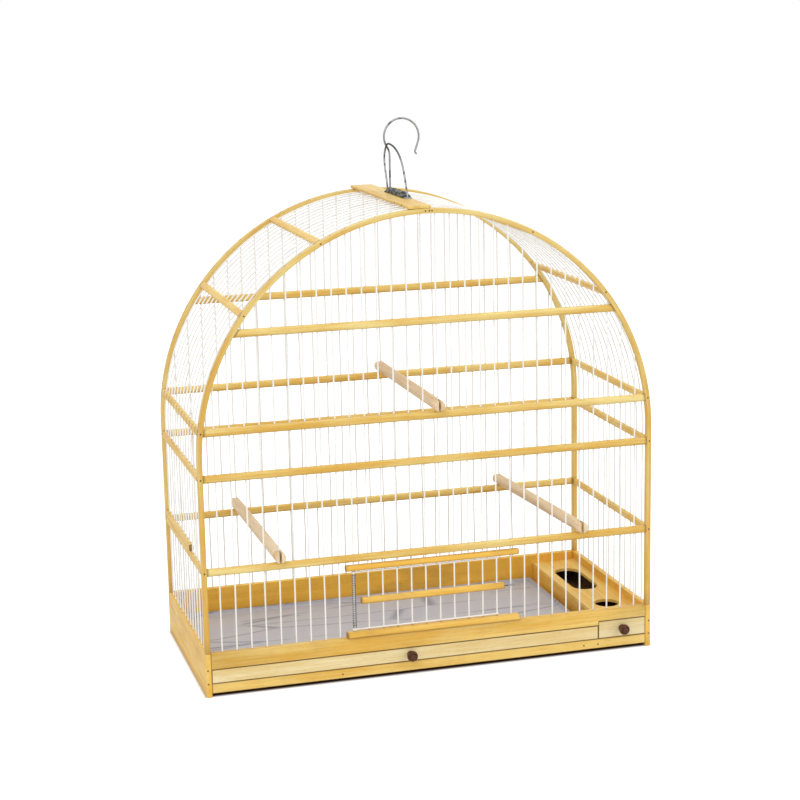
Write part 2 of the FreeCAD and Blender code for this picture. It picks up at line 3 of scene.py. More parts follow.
import bpy
import numpy as np
from mathutils import Matrix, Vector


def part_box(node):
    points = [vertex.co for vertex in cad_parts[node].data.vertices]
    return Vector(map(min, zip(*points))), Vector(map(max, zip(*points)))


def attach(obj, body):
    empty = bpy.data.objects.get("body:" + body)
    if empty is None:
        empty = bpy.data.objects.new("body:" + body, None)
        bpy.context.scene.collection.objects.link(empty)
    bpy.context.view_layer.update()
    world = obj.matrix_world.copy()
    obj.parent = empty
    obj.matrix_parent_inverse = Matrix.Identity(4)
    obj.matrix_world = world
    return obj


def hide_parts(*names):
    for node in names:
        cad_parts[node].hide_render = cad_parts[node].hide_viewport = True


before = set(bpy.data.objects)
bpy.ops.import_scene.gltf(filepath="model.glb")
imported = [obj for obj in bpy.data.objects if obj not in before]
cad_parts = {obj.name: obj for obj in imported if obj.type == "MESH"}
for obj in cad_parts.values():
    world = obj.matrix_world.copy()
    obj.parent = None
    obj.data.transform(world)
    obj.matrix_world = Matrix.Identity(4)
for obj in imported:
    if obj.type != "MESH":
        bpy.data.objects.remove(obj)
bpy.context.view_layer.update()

bl_info = {
    "name": "Songbird cage",
    "version": (1, 0, 0),
    "blender": (4, 5, 0),
    "location": "View3D > Sidebar > Cage",
    "description": "Finishes an arched wooden songbird cage: wood, wires, door, tray, perches and hanger",
    "category": "Add Mesh",
}

MM = 0.001
FULL_TURN = 2 * math.pi


def corners(*nodes):
    """Lowest and highest corner of one or more CAD nodes, as arrays in metres."""
    boxes = [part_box(node) for node in nodes]
    return np.min([low for low, high in boxes], axis=0), np.max([high for low, high in boxes], axis=0)


# Lattice and arches, read from the frame
FRONT_GAPS = 31
SIDE_GAPS = 14
STRIP_THICKNESS = 5 * MM
(arch_low, arch_high), (back_low, back_high) = corners("arch_front"), corners("arch_back")
STRIP_DEPTH = arch_high[1] - arch_low[1]
OUTER_RADIUS = arch_high[0]
HALF_WIDTH = OUTER_RADIUS - STRIP_THICKNESS / 2
FRONT_Y = (arch_low[1] + arch_high[1]) / 2
BACK_Y = (back_low[1] + back_high[1]) / 2
MIDDLE_Y = (FRONT_Y + BACK_Y) / 2
HALF_DEPTH = (BACK_Y - FRONT_Y) / 2
BASE_TOP = arch_low[2]
SPRINGING_Z = arch_high[2] - OUTER_RADIUS
SPRINGING = SPRINGING_Z - BASE_TOP
PATH_LENGTH = 2 * SPRINGING + math.pi * HALF_WIDTH
PITCH = 2 * HALF_WIDTH / FRONT_GAPS
FACE_Y = arch_low[1]
PIVOT_WIRE, CATCH_WIRE = 10, 21
SINK = 1.5 * MM         # how far the wires reach down into the box
OVERLAP = 0.2 * MM      # how far a rail or slat enters the arches
SEAM_WIDTH = 1.5        # width of the painted shade along a board's seams, in roundings of its edge
GRAIN_SHIFT = 3         # metres by which a piece's grain is shifted at random


def wire_x(number):
    """Place of a front or back wire, counted from 1 at the left."""
    return (np.asarray(number) - FRONT_GAPS / 2) * PITCH


def side_wire_y(number):
    """Place of a side or roof wire, counted from 1 at the front."""
    return FRONT_Y + np.asarray(number) * PITCH


def middle(node):
    """Centre of a CAD node's box."""
    low, high = corners(node)
    return (low + high) / 2


# Sizes and colours that a user would change
def linear(code):
    """Linear colour, with full alpha, of a six-figure display colour."""
    shares = [int(code[i:i + 2], 16) / 255 for i in (0, 2, 4)]
    return tuple(((c + 0.055) / 1.055) ** 2.4 if c > 0.04045 else c / 12.92 for c in shares) + (1.0,)


def length_property(label, description, default):
    return bpy.props.FloatProperty(name=label, description=description, default=default, min=0.0,
                                   subtype="DISTANCE", unit="LENGTH")


def colour_property(label, description, code):
    return bpy.props.FloatVectorProperty(name=label, description=description, default=linear(code), size=4,
                                         min=0.0, max=1.0, subtype="COLOR")


class CageSizes(bpy.types.PropertyGroup):
    wire_radius: length_property("Wire radius", "Radius of the coated wires", 0.8 * MM)
    wire_bow: length_property("Wire bow", "How far a hand-drawn wire wanders from straight", 0.18 * MM)
    rail_round: length_property("Rail rounding", "Radius of the long edges of rails and slats", 1.7 * MM)
    arch_round: length_property("Arch rounding", "Radius of the edges of the bent strips", 0.9 * MM)
    board_round: length_property("Board rounding", "Radius of the edges of the box's boards", 0.7 * MM)
    hanger_radius: length_property("Hanger wire radius", "Radius of the bail's and hook's wire", 0.95 * MM)
    spring_radius: length_property("Spring wire radius", "Radius of the closing spring's wire", 0.36 * MM)
    nail_radius: length_property("Nail radius", "Radius of the pin heads in the joints", 0.85 * MM)
    spring_turns: bpy.props.IntProperty(name="Spring turns", description="Turns of the closing spring",
                                        default=30, min=4, max=60)


class CageFinish(bpy.types.PropertyGroup):
    varnish_pale: colour_property("Varnished wood, pale", "Light bands of the varnished wood", "F0DB92")
    varnish_deep: colour_property("Varnished wood, deep", "Dark bands of the varnished wood", "DCAE50")
    # amber that stands in for shade inside the cage and at its back: painted shade, also used as a warmer tone on some
    # pieces
    varnish_amber: colour_property("Amber varnish in painted shade", "Varnish inside the cage and at its back", "F4BC42")
    strip_pale: colour_property("Tray front, pale", "Light bands of the paler strip", "F0DFB0")
    strip_deep: colour_property("Tray front, deep", "Dark bands of the paler strip", "E3C888")
    perch_pale: colour_property("Perch, pale", "Light bands of the bare perches", "EBD6B4")
    perch_deep: colour_property("Perch, deep", "Dark bands of the bare perches", "D8B88C")
    drawer_pale: colour_property("Food drawer, pale", "Light bands of the drawer's dark wood", "6A4A30")
    drawer_deep: colour_property("Food drawer, deep", "Dark bands of the drawer's dark wood", "4A3020")
    knob: colour_property("Knob", "Dark lacquer of the turned knobs", "52301A")
    wire: colour_property("Wire coat", "Cream coat of the wires", "F1F0EC")
    steel: colour_property("Steel", "Bare steel wire and saddle", "A6A6A9")
    tray: colour_property("Tray sheet", "Dull sheet of the tray", "C2C0C4")
    floor: colour_property("Floor", "Pale floor and background", "F7F7F7")


# Surfaces as arrays of points
def joined(*parts):
    """Points from their coordinates."""
    return np.stack(np.broadcast_arrays(*parts), -1)


def unit(turns):
    """Unit vectors in a plane."""
    return joined(np.cos(turns), np.sin(turns))


def near(distance, reach):
    """Share that falls from 1 at no distance to 0 at the reach."""
    return np.clip(1 - distance / reach, 0, 1)


def rounded_outline(width, height, radius, steps=4):
    """Rectangle with quarter-round corners, anticlockwise: each corner's centre plus a turning radius.
    A point beside each arc keeps the flats flat, and stays short of the flat's middle."""
    centres = np.array([[1, -1], [1, 1], [-1, 1], [-1, -1]]) * [width / 2 - radius, height / 2 - radius]
    turns = np.radians([-90, 0, 90, 180])[:, None] + np.linspace(0, math.pi / 2, steps)[None, :]
    arcs = centres[:, None] + radius * unit(turns)
    beside = np.minimum(0.5 * radius, 0.4 * (np.array([width, height]) - 2 * radius))
    headings = joined(-np.sin(turns), np.cos(turns))
    before = arcs[:, :1] - beside[[0, 1, 0, 1], None, None] * headings[:, :1]
    after = arcs[:, -1:] + beside[[1, 0, 1, 0], None, None] * headings[:, -1:]
    return np.concatenate([before, arcs, after], axis=1).reshape(-1, 2)


def circle(sides):
    """Unit circle, anticlockwise."""
    return unit(FULL_TURN * np.arange(sides) / sides)


def sweep(centres, across, along, section):
    """Closed tubes: each point is a centre of the path plus the section's first coordinate along the across
    vector and its second along the cross product of path and across. Returns points and grain coordinates,
    both shaped (tubes, rows, columns, 3). The grain runs with the length of the path."""
    centres = np.asarray(centres, float)
    if centres.ndim == 2:
        centres = centres[None]
    across, along = (np.broadcast_to(vectors, centres.shape) for vectors in (across, along))
    upward = np.cross(along, across)
    section = np.broadcast_to(section, centres.shape[:2] + np.shape(section)[-2:])
    points = centres[:, :, None] + section[..., :1] * across[:, :, None] + section[..., 1:] * upward[:, :, None]
    steps = np.linalg.norm(np.diff(centres, axis=1), axis=-1)
    run = np.concatenate([np.zeros((len(centres), 1)), np.cumsum(steps, axis=1)], axis=1)
    length = np.broadcast_to(run[:, :, None, None], points.shape[:3] + (1,))
    return points, np.concatenate([length, section], axis=-1)


def grained_by_place(points):
    """Block whose grain runs along X and is read from its places in the cage."""
    return points, points


def tangents(centres):
    """Unit directions along a path."""
    directions = np.gradient(np.asarray(centres, float), axis=-2)
    return directions / np.linalg.norm(directions, axis=-1, keepdims=True)


def bar(start, end, across, width, height, radius, ease, rng, rows=18):
    """Straight wooden bar from start to end. The section is a rounded rectangle, its ends are eased by a
    quarter round, and its faces wander a little, as planed wood does."""
    start, end = np.asarray(start, float), np.asarray(end, float)
    length = np.linalg.norm(end - start)
    along = (end - start) / length
    turn = np.linspace(0, math.pi / 2, 4)
    head, inset = ease * (1 - np.cos(turn)), ease * (1 - np.sin(turn))
    first = 2 * ease + np.array([0, 2.5 * MM])
    body = np.concatenate([first, np.linspace(first[1], length - first[1], rows - 2)[1:-1], length - first[::-1]])
    stations = np.concatenate([head, body, length - head[::-1]])
    insets = np.concatenate([inset, np.zeros(rows), inset[::-1]])
    outline = rounded_outline(width, height, radius)
    shrink = 1 - 2 * insets[:, None] / np.array([width, height])
    phases = rng.uniform(0, FULL_TURN, 2)
    hollow, wavelength = 0.03 * MM, 70 * MM
    uneven = hollow * np.sin(FULL_TURN * stations[:, None] / wavelength + phases)
    sections = outline[None] * (shrink - 2 * np.abs(uneven) / np.array([width, height]))[:, None]
    return sweep(start + stations[:, None] * along, across, along, sections)


def turned(profile, foot, axis, across, sides=40):
    """Lathe work: rows of a circle whose radius and distance along the axis follow the profile."""
    profile = np.asarray(profile, float)
    centres = np.asarray(foot, float) + profile[:, 1:] * np.asarray(axis, float)
    return sweep(centres, across, axis, profile[:, :1, None] * circle(sides)[None])


def arch_path(s):
    """Points and outward vectors of the arch's centre line in the XZ plane, at path lengths from the right
    foot: a straight leg, half a turn, a straight leg."""
    s = np.asarray(s, float)
    angle = np.clip((s - SPRINGING) / HALF_WIDTH, 0, math.pi)
    drop = np.minimum(s - SPRINGING, 0) + np.minimum(PATH_LENGTH - SPRINGING - s, 0)
    outward = joined(np.cos(angle), 0.0, np.sin(angle))
    return np.array([0, 0, SPRINGING_Z]) + HALF_WIDTH * outward + drop[..., None] * np.array([0, 0, 1]), outward


def path_at(node):
    """Path length at which a slat crosses the right half of the arch."""
    x, _, z = middle(node)
    if z <= SPRINGING_Z:
        return z - BASE_TOP
    return SPRINGING + HALF_WIDTH * math.atan2(z - SPRINGING_Z, x)


def hermite(points, headings, steps):
    """Smooth curve through points with given headings: cubic pieces whose tangents are as long as the chord."""
    points, headings = np.asarray(points, float), np.asarray(headings, float)
    chord = np.linalg.norm(np.diff(points, axis=0), axis=1)[:, None, None]
    t = np.linspace(0, 1, steps, endpoint=False)[None, :, None]
    p0, p1 = points[:-1, None], points[1:, None]
    m0, m1 = headings[:-1, None] * chord, headings[1:, None] * chord
    curve = ((2 * t**3 - 3 * t**2 + 1) * p0 + (t**3 - 2 * t**2 + t) * m0
             + (3 * t**2 - 2 * t**3) * p1 + (t**3 - t**2) * m1)
    return np.concatenate([curve.reshape(-1, points.shape[1]), points[-1:]])


# Shader helpers
class Shades:
    """A node tree with short calls for its nodes. Every value is a number, a colour or a socket."""

    def __init__(self, tree):
        self.tree = tree

    def fill(self, node, inputs):
        """Sets or links a node's inputs."""
        for key, value in inputs.items():
            if isinstance(value, bpy.types.NodeSocket):
                self.tree.links.new(value, node.inputs[key])
            else:
                node.inputs[key].default_value = value
        return node

    def add(self, kind, inputs=None, **options):
        """Adds a shader node with its options and inputs."""
        node = self.tree.nodes.new("ShaderNode" + kind)
        for key, value in options.items():
            setattr(node, key, value)
        return self.fill(node, inputs or {})

    def maths(self, operation, *values):
        return self.add("Math", dict(enumerate(values)), operation=operation).outputs[0]

    def plus(self, *values):
        return self.maths("ADD", *values)

    def minus(self, *values):
        return self.maths("SUBTRACT", *values)

    def times(self, *values):
        return self.maths("MULTIPLY", *values)

    def apart(self, *values):
        """Distance between two values."""
        return self.maths("ABSOLUTE", self.minus(*values))

    def rising(self, start, share, value):
        """A start value and a share of another."""
        return self.plus(start, self.times(value, share))

    def mix(self, factor, first, second):
        """Colour mix of two colours."""
        return self.add("Mix", {0: factor, 6: first, 7: second}, data_type="RGBA").outputs[2]

    def over(self, colour, mask, amount, paint):
        """Colour with some paint over it where the mask is."""
        return self.mix(self.times(mask, amount), colour, paint)

    def step(self, value, low, high):
        """Value mapped smoothly to 0 below low and 1 above high."""
        return self.add("MapRange", {"Value": value, "From Min": low, "From Max": high},
                        interpolation_type="SMOOTHSTEP").outputs[0]

    def noise(self, vector, scale, stretch=(1, 1, 1), detail=2.0, roughness=0.5):
        """Noise whose cells are stretched along the axes. Scales are per metre."""
        mapped = self.add("Mapping", {"Vector": vector, "Scale": tuple(scale * s for s in stretch)})
        return self.add("TexNoise", {"Vector": mapped.outputs[0], "Scale": 1.0, "Detail": detail,
                                     "Roughness": roughness}).outputs[0]

    def place(self):
        """Object coordinates."""
        return self.add("TexCoord").outputs["Object"]

    def axes(self):
        """Object coordinates one by one."""
        return self.add("SeparateXYZ", {0: self.place()}).outputs

    def attribute(self, name, output="Fac"):
        return self.add("Attribute", attribute_name=name).outputs[output]

    def group(self, label, build, inputs):
        """Outputs of a node group, which is built once."""
        made = bpy.data.node_groups.get(label) or build(label)
        return self.add("Group", inputs, node_tree=made).outputs


def new_group(label, inputs, outputs):
    """Empty node group with named sockets: its tree, its given values and the node that takes its outputs."""
    tree = bpy.data.node_groups.new(label, "ShaderNodeTree")
    for name, kind, default in inputs:
        socket = tree.interface.new_socket(name, in_out="INPUT", socket_type="NodeSocket" + kind)
        socket.default_value = default
    for name, kind in outputs:
        tree.interface.new_socket(name, in_out="OUTPUT", socket_type="NodeSocket" + kind)
    return Shades(tree), tree.nodes.new("NodeGroupInput").outputs, tree.nodes.new("NodeGroupOutput")


# Linear colours of dirt, wear and painted shade
# grain and stains within the amber, painted-shade mix of the wood
AMBER_GRAIN = (0.60, 0.31, 0.06, 1)
AMBER_STAIN = (0.36, 0.15, 0.03, 1)
PORE = (0.32, 0.16, 0.05, 1)
HANDLING = (0.35, 0.17, 0.05, 1)
# colour of the painted shade round the drilled holes
HOLE_SHADE = (0.16, 0.07, 0.02, 1)
# colour of the painted shade in seams, joints and under lower edges
SEAM_SHADE = (0.10, 0.04, 0.012, 1)
WIRE_DUST = (0.49, 0.485, 0.47, 1)
WIRE_CHIP = (0.22, 0.16, 0.11, 1)
DULL_STEEL = (0.16, 0.16, 0.17, 1)
DARK_STEEL = (0.04, 0.04, 0.045, 1)
# colour of the painted shade at the steel wire's outlines
STEEL_EDGE_SHADE = (0.035, 0.035, 0.04, 1)
SADDLE_PALE = (0.20, 0.22, 0.20, 1)
SADDLE_DARK = (0.015, 0.015, 0.014, 1)
SADDLE_RUST = (0.09, 0.02, 0.01, 1)
PIN_DARK = (0.035, 0.028, 0.024, 1)
PIN_RUST = (0.12, 0.05, 0.025, 1)
KNOB_WORN = (0.11, 0.045, 0.028, 1)
TRAY_CLOUD = (0.50, 0.50, 0.57, 1)
# colour of the painted shade in the tray's creases
TRAY_CREASE_SHADE = (0.15, 0.16, 0.21, 1)
TRAY_SCUFF = (0.12, 0.12, 0.15, 1)
# colour of the painted shadow on the floor under the box
SHADED_FLOOR = (0.16, 0.075, 0.04, 1)
WHITE = (1, 1, 1, 1)


def wood_group(label):
    """Grain: broad bands, fine streaks, pores and blotches of varnish, all drawn out along the first axis."""
    g, given, sink = new_group(label, [
        ("Vector", "Vector", (0, 0, 0)), ("Pale", "Color", WHITE), ("Deep", "Color", (0, 0, 0, 1)),
        ("Amber", "Color", (0, 0, 0, 1)), ("Age", "Float", 0.0)],
        [("Color", "Color"), ("Roughness", "Float"), ("Height", "Float")])
    grain = given["Vector"]
    bands = g.noise(grain, 1, (5, 85, 85), 3.0, 0.6)
    streaks = g.noise(grain, 1, (22, 800, 800), 2.0, 0.6)
    pores = g.step(g.noise(grain, 1, (110, 2700, 2700), 1.0), 0.6, 0.7)
    blotches = g.noise(grain, 24, (0.6, 1, 1), 3.0)
    tone = g.plus(g.times(bands, 0.5), g.times(streaks, 0.25))
    figure = g.step(g.plus(tone, g.times(blotches, 0.25)), 0.38, 0.62)
    stains = g.step(g.noise(grain, 17, (0.45, 1, 1), 4.0, 0.65), 0.5, 0.66)
    plain = g.mix(figure, given["Pale"], given["Deep"])
    # the amber mix, with its grain and stains, is painted shade inside the cage, and a warmer tone elsewhere
    amber_and_stains = g.over(g.over(given["Amber"], figure, 0.3, AMBER_GRAIN), stains, 0.42, AMBER_STAIN)
    g.fill(sink, {"Color": g.over(g.mix(given["Age"], plain, amber_and_stains), pores, 0.22, PORE),
                  "Roughness": g.rising(0.3, 0.25, streaks), "Height": g.minus(streaks, pores)})
    return g.tree


def nearest_wire(g, coordinate, origin):
    """Distance along one axis to the nearest wire of the lattice, in metres."""
    share = g.maths("FRACT", g.plus(g.maths("DIVIDE", g.minus(coordinate, origin), PITCH), 0.5))
    return g.times(g.apart(share, 0.5), PITCH)


def hole_shade_group(label):
    """Painted shade round each drilled hole: distance to the nearest wire of the front, back or side lattice."""
    g, given, sink = new_group(label, [("Reach", "Float", 1.5 * MM)], [("Mask", "Float")])
    x, y, _ = g.axes()
    from_planes = g.apart(g.apart(y, MIDDLE_Y), HALF_DEPTH)
    from_sides = g.apart(g.maths("ABSOLUTE", x), HALF_WIDTH)
    distances = [g.maths("SQRT", g.plus(g.maths("POWER", nearest_wire(g, coordinate, origin), 2.0),
                                        g.maths("POWER", away, 2.0)))
                 for coordinate, origin, away in ((x, PITCH / 2, from_planes), (y, FRONT_Y, from_sides))]
    inside = g.minus(1.0, g.maths("DIVIDE", g.maths("MINIMUM", *distances), given["Reach"]))
    g.fill(sink, {"Mask": g.step(inside, 0.0, 0.5)})
    return g.tree


def smudge_group(label):
    """Handling marks: soft dark blotches and a few specks."""
    g, given, sink = new_group(label, [("Vector", "Vector", (0, 0, 0)), ("Amount", "Float", 0.5)],
                               [("Mask", "Float")])
    soft = g.step(g.noise(given["Vector"], 55, detail=4.0, roughness=0.65), 0.56, 0.8)
    specks = g.step(g.noise(given["Vector"], 420, detail=1.0), 0.72, 0.78)
    g.fill(sink, {"Mask": g.times(g.plus(g.times(soft, 0.6), specks), given["Amount"])})
    return g.tree


def new_material(label, metallic=0.0, coat=0.0, coat_roughness=0.1, specular=0.5):
    """Empty procedural material: itself, its node tree, and its Principled shader with uniform values set."""
    made = bpy.data.materials.new(label)
    made.use_nodes = True
    g = Shades(made.node_tree)
    shader = g.fill(g.tree.nodes["Principled BSDF"], {
        "Metallic": metallic, "Coat Weight": coat, "Coat Roughness": coat_roughness,
        "Specular IOR Level": specular})
    return made, g, shader


def material_once(label, draw, depth, strength, **surface):
    """Procedural material, made once. Draw takes its node tree and Object coordinates, and returns its
    colour, roughness and height. Depth and strength are the bumps'."""
    if label in bpy.data.materials:
        return bpy.data.materials[label]
    made, g, shader = new_material(label, **surface)
    colour, roughness, height = draw(g, g.place())
    bumps = g.add("Bump", {"Height": height, "Distance": depth, "Strength": strength})
    g.fill(shader, {"Base Color": colour, "Roughness": roughness, "Normal": bumps.outputs[0]})
    return made


def tint(name):
    """Colour that the user set."""
    return tuple(getattr(bpy.context.scene.cage_finish, name))


# Kinds of wood: label, colours, coat, smudges, and for a CAD node the turn of its grain and its share of the amber,
# painted-shade tone
QUARTER = math.pi / 2
WOODS = {
    "varnished": ("Varnished wood", "varnish", 0.1, 0.35, None, 0.0),
    "strip": ("Pale strip wood", "strip", 0.08, 0.2, None, 0.0),
    "perch": ("Bare perch wood", "perch", 0.05, 0.5, None, 0.0),
    "shelf": ("Varnished wood of the shelf", "varnish", 0.06, 0.35, (0, 0, QUARTER), 0.45),
    "drawer": ("Dark wood of the food drawer", "drawer", 0.1, 0.35, (0, 0, QUARTER), 0.0),
}


def wood(kind="varnished"):
    """Varnished or bare wood. New pieces carry their grain in attributes. A CAD node's grain follows Object
    coordinates, turned so that it runs along the piece."""
    label, colours, coat, smudges, turn, age = WOODS[kind]

    def draw(g, place):
        if turn is None:
            grain, amber_share, soil = g.attribute("grain", "Vector"), g.attribute("age"), g.attribute("soil")
        else:
            grain, amber_share, soil = g.add("Mapping", {"Vector": place, "Rotation": turn}).outputs[0], age, 0.0
        timber = g.group("Wood grain", wood_group, {
            "Vector": grain, "Pale": tint(colours + "_pale"), "Deep": tint(colours + "_deep"),
            "Amber": tint("varnish_amber"), "Age": amber_share})
        # painted shade round the holes where the wires pass
        hole_shade = g.group("Drill marks", hole_shade_group, {"Reach": 1.7 * MM})["Mask"]
        marks = g.group("Smudges", smudge_group, {"Vector": place, "Amount": smudges})["Mask"]
        colour = g.over(g.over(timber["Color"], marks, 0.5, HANDLING), hole_shade, 0.7, HOLE_SHADE)
        # painted shade along seams, joints and lower edges darkens the colour
        return g.mix(soil, colour, SEAM_SHADE), timber["Roughness"], timber["Height"]

    return material_once(label, draw, 0.06 * MM, 0.35, coat=coat, coat_roughness=0.18, specular=0.14)


def wire_coat():
    """Cream coat with a little dirt and a few chips that show the steel."""
    def draw(g, place):
        worn = g.noise(place, 60, (1, 1, 0.35), 3.0)
        chips = g.step(g.noise(place, 700, (1, 1, 0.4), 2.0), 0.74, 0.78)
        colour = g.over(tint("wire"), g.step(worn, 0.5, 0.75), 0.35, WIRE_DUST)
        return g.over(colour, chips, 0.6, WIRE_CHIP), g.rising(0.32, 0.2, worn), g.noise(place, 1800, detail=1.0)

    return material_once("Cream wire coat", draw, 0.02 * MM, 0.3, specular=0.3)


def bare_steel():
    """Bright drawn steel with painted shade towards its outlines, and dull and dark patches along the wire."""
    def draw(g, place):
        dull = g.noise(place, 260, detail=4.0, roughness=0.7)
        patches = g.step(g.noise(place, 170, detail=3.0), 0.5, 0.66)
        colour = g.over(g.over(tint("steel"), dull, 0.3, DULL_STEEL), patches, 0.85, DARK_STEEL)
        # Layer Weight darkens the outlines: painted shade
        outline = g.add("LayerWeight", {"Blend": 0.5}).outputs["Facing"]
        return g.mix(g.step(outline, 0.22, 0.6), colour, STEEL_EDGE_SHADE), g.rising(0.2, 0.4, dull), dull

    return material_once("Grey steel wire", draw, 0.08 * MM, 0.5, metallic=0.9)


def saddle_steel():
    """Dark mottled pressed sheet, pale on its flat tabs."""
    def draw(g, place):
        mottle = g.step(g.noise(place, 230, detail=4.0, roughness=0.7), 0.36, 0.56)
        rust = g.step(g.noise(place, 150, detail=2.0), 0.6, 0.7)
        colour = g.over(g.mix(mottle, SADDLE_PALE, SADDLE_DARK), rust, 0.7, SADDLE_RUST)
        return g.mix(g.attribute("age"), colour, tint("steel")), g.rising(0.3, 0.3, mottle), mottle

    return material_once("Mottled saddle steel", draw, 0.2 * MM, 0.5, metallic=0.35, specular=0.3)


def rusty_pin():
    """Dull dark heads with a little rust."""
    def draw(g, place):
        rust = g.noise(place, 900, detail=2.0)
        return g.mix(g.step(rust, 0.45, 0.6), PIN_DARK, PIN_RUST), 0.7, rust

    return material_once("Dark pin steel", draw, 0.1 * MM, 0.5, metallic=0.2, specular=0.2)


def knob_lacquer():
    """Dark brown gloss lacquer on turned wood, paler in patches along a noise figure."""
    def draw(g, place):
        figure = g.noise(place, 400, (1, 0.3, 1), 3.0)
        return g.mix(g.step(figure, 0.45, 0.7), tint("knob"), KNOB_WORN), g.rising(0.22, 0.2, figure), figure

    return material_once("Dark knob lacquer", draw, 0.05 * MM, 0.3, coat=0.1, coat_roughness=0.08, specular=0.2)


def tray_sheet():
    """Dull coated sheet with long creases, which are bumps with painted shade in them, scuffs and dark marks."""
    def draw(g, place):
        bent = g.add("Mapping", {"Vector": place, "Scale": (6.0, 34.0, 34.0)}).outputs[0]
        cells = g.add("TexVoronoi", {"Vector": bent, "Scale": 1.0, "Randomness": 1.0},
                      feature="DISTANCE_TO_EDGE").outputs[0]
        faint = g.step(g.noise(place, 14, detail=2.0), 0.36, 0.56)
        creases = g.times(g.minus(1.0, g.step(cells, 0.0, 0.05)), faint)
        clouds = g.noise(place, 30, (0.5, 1, 1), 4.0)
        scuffs = g.step(g.noise(place, 1, (70, 420, 420), 3.0, 0.6), 0.66, 0.74)
        colour = g.over(tint("tray"), g.step(clouds, 0.35, 0.7), 0.5, TRAY_CLOUD)
        # the creases' dark lines are painted shade
        colour = g.over(g.over(colour, creases, 0.62, TRAY_CREASE_SHADE), scuffs, 0.75, TRAY_SCUFF)
        return colour, g.rising(0.38, 0.2, clouds), g.minus(clouds, creases)

    return material_once("Tray sheet", draw, 0.25 * MM, 0.4, coat=0.05, coat_roughness=0.3, specular=0.3)


# Pieces
def add_piece(name, blocks, material, body, replaced=(), age=0.0, soil=0.0, smooth_degrees=42):
    """One mesh object from blocks of swept tubes, capped at both ends, with attributes for grain, for a share of a
    second tone and for painted shade. The tone share and the painted shade are numbers or functions of the vertices'
    places."""
    rng = np.random.default_rng(sum(name.encode()))
    vertices, grains, faces, start = [], [], [], 0
    for points, grain in blocks:
        count, rows, columns = points.shape[:3]
        index = start + np.arange(count * rows * columns).reshape(count, rows, columns)
        right = np.roll(index, -1, axis=2)
        quads = np.stack([index[:, :-1], right[:, :-1], right[:, 1:], index[:, 1:]], axis=-1).reshape(-1, 4)
        faces += quads.tolist() + index[:, 0, ::-1].tolist() + index[:, -1].tolist()
        vertices.append(points.reshape(-1, 3))
        grains.append((grain + rng.uniform(-GRAIN_SHIFT, GRAIN_SHIFT, (count, 1, 1, 3))).reshape(-1, 3))
        start += count * rows * columns
    places = np.concatenate(vertices)
    mesh = bpy.data.meshes.new(name)
    mesh.from_pydata(places.tolist(), [], faces)
    mesh.attributes.new("grain", "FLOAT_VECTOR", "POINT").data.foreach_set("vector", np.concatenate(grains).ravel())
    for label, value in (("age", age), ("soil", soil)):
        shares = np.broadcast_to(value(places) if callable(value) else value, len(places)).astype(float)
        mesh.attributes.new(label, "FLOAT", "POINT").data.foreach_set("value", shares)
    mesh.shade_smooth()
    mesh.set_sharp_from_angle(angle=math.radians(smooth_degrees))
    mesh.validate()
    mesh.materials.append(material)
    piece = bpy.data.objects.new(name, mesh)
    bpy.context.scene.collection.objects.link(piece)
    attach(piece, body)
    if replaced:
        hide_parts(*replaced)
    return piece


def wooden(node, block, age=0.0, soil=0.0, kind="varnished", body="frame", name=None):
    """Wooden piece in the place of a CAD node."""
    add_piece(name or "planed_" + node, [block], wood(kind), body, [node], age, soil)


def steel_wire(name, blocks, node, body="frame"):
    """Piece of bare wire in the place of a CAD node."""
    add_piece(name, blocks, bare_steel(), body, [node])


def dressed(node, kind):
    """Gives a CAD node a kind of wood in place of its own material."""
    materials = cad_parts[node].data.materials
    materials.clear()
    materials.append(wood(kind))


def seeded(name):
    return np.random.default_rng(1000 + sum(name.encode()))


# Faces of a box: an axis and a side
X_ENDS = ((0, -1), (0, 1))
Y_ENDS = ((1, -1), (1, 1))
Z_FACES = ((2, -1), (2, 1))


def seam_shade(node, faces, reach, amount=1.0):
    """Painted shade along a board's seams: falls off with the distance to chosen faces of the CAD node's box."""
    box = corners(node)

    def soil(places):
        falls = [1 - np.abs(places[:, axis] - box[(side + 1) // 2][axis]) / reach for axis, side in faces]
        return amount * np.clip(np.max(falls, axis=0), 0, 1)

    return soil


def board_of(node, axis, radius, ease, trim=(0, 0, 0)):
    """Bar that fills a CAD node's box along one axis, less a little trim at each outer face."""
    low, high = corners(node)
    low, high = low + np.maximum(trim, 0), high + np.minimum(trim, 0)
    start, end = (low + high) / 2, (low + high) / 2
    start[axis], end[axis] = low[axis], high[axis]
    side, size = (axis + 1) % 3, high - low
    return bar(start, end, np.eye(3)[side], size[side], size[(axis + 2) % 3], radius, ease, seeded(node))


def inner_reach(z):
    """Half the width between the arch's inner faces at a height."""
    return np.sqrt((OUTER_RADIUS - STRIP_THICKNESS)**2 - np.maximum(z - SPRINGING_Z, 0)**2)


def rail_block(node, radius):
    """Rail between the arch's legs: rounded section in YZ, and X runs between the ends of the reach, which
    follows the arch's underside and enters it a little."""
    low, high = corners(node)
    outline = rounded_outline(high[1] - low[1], high[2] - low[2], radius) + (low[1:] + high[1:]) / 2
    reach = inner_reach(outline[:, 1]) + OVERLAP
    offsets = np.array([[0.0], [1.2], [3.0]]) * MM
    even_half = reach.min() - 10 * MM
    between = np.linspace(-1, 1, 30)[:, None] * even_half + 0 * reach
    x = np.concatenate([offsets - reach, between, reach - offsets[::-1]])
    return grained_by_place(joined(x, outline[:, 0], outline[:, 1])[None])


def rail_shade(node):
    """Painted shade where a rail meets the arches, and a band of it along the rail's lower edges."""
    foot = corners(node)[0][2]

    def soil(places):
        away = inner_reach(places[:, 2]) - np.abs(places[:, 0])
        return np.maximum(0.8 * near(away, 2.6 * MM), 0.34 * near(places[:, 2] - foot, 3.2 * MM))

    return soil


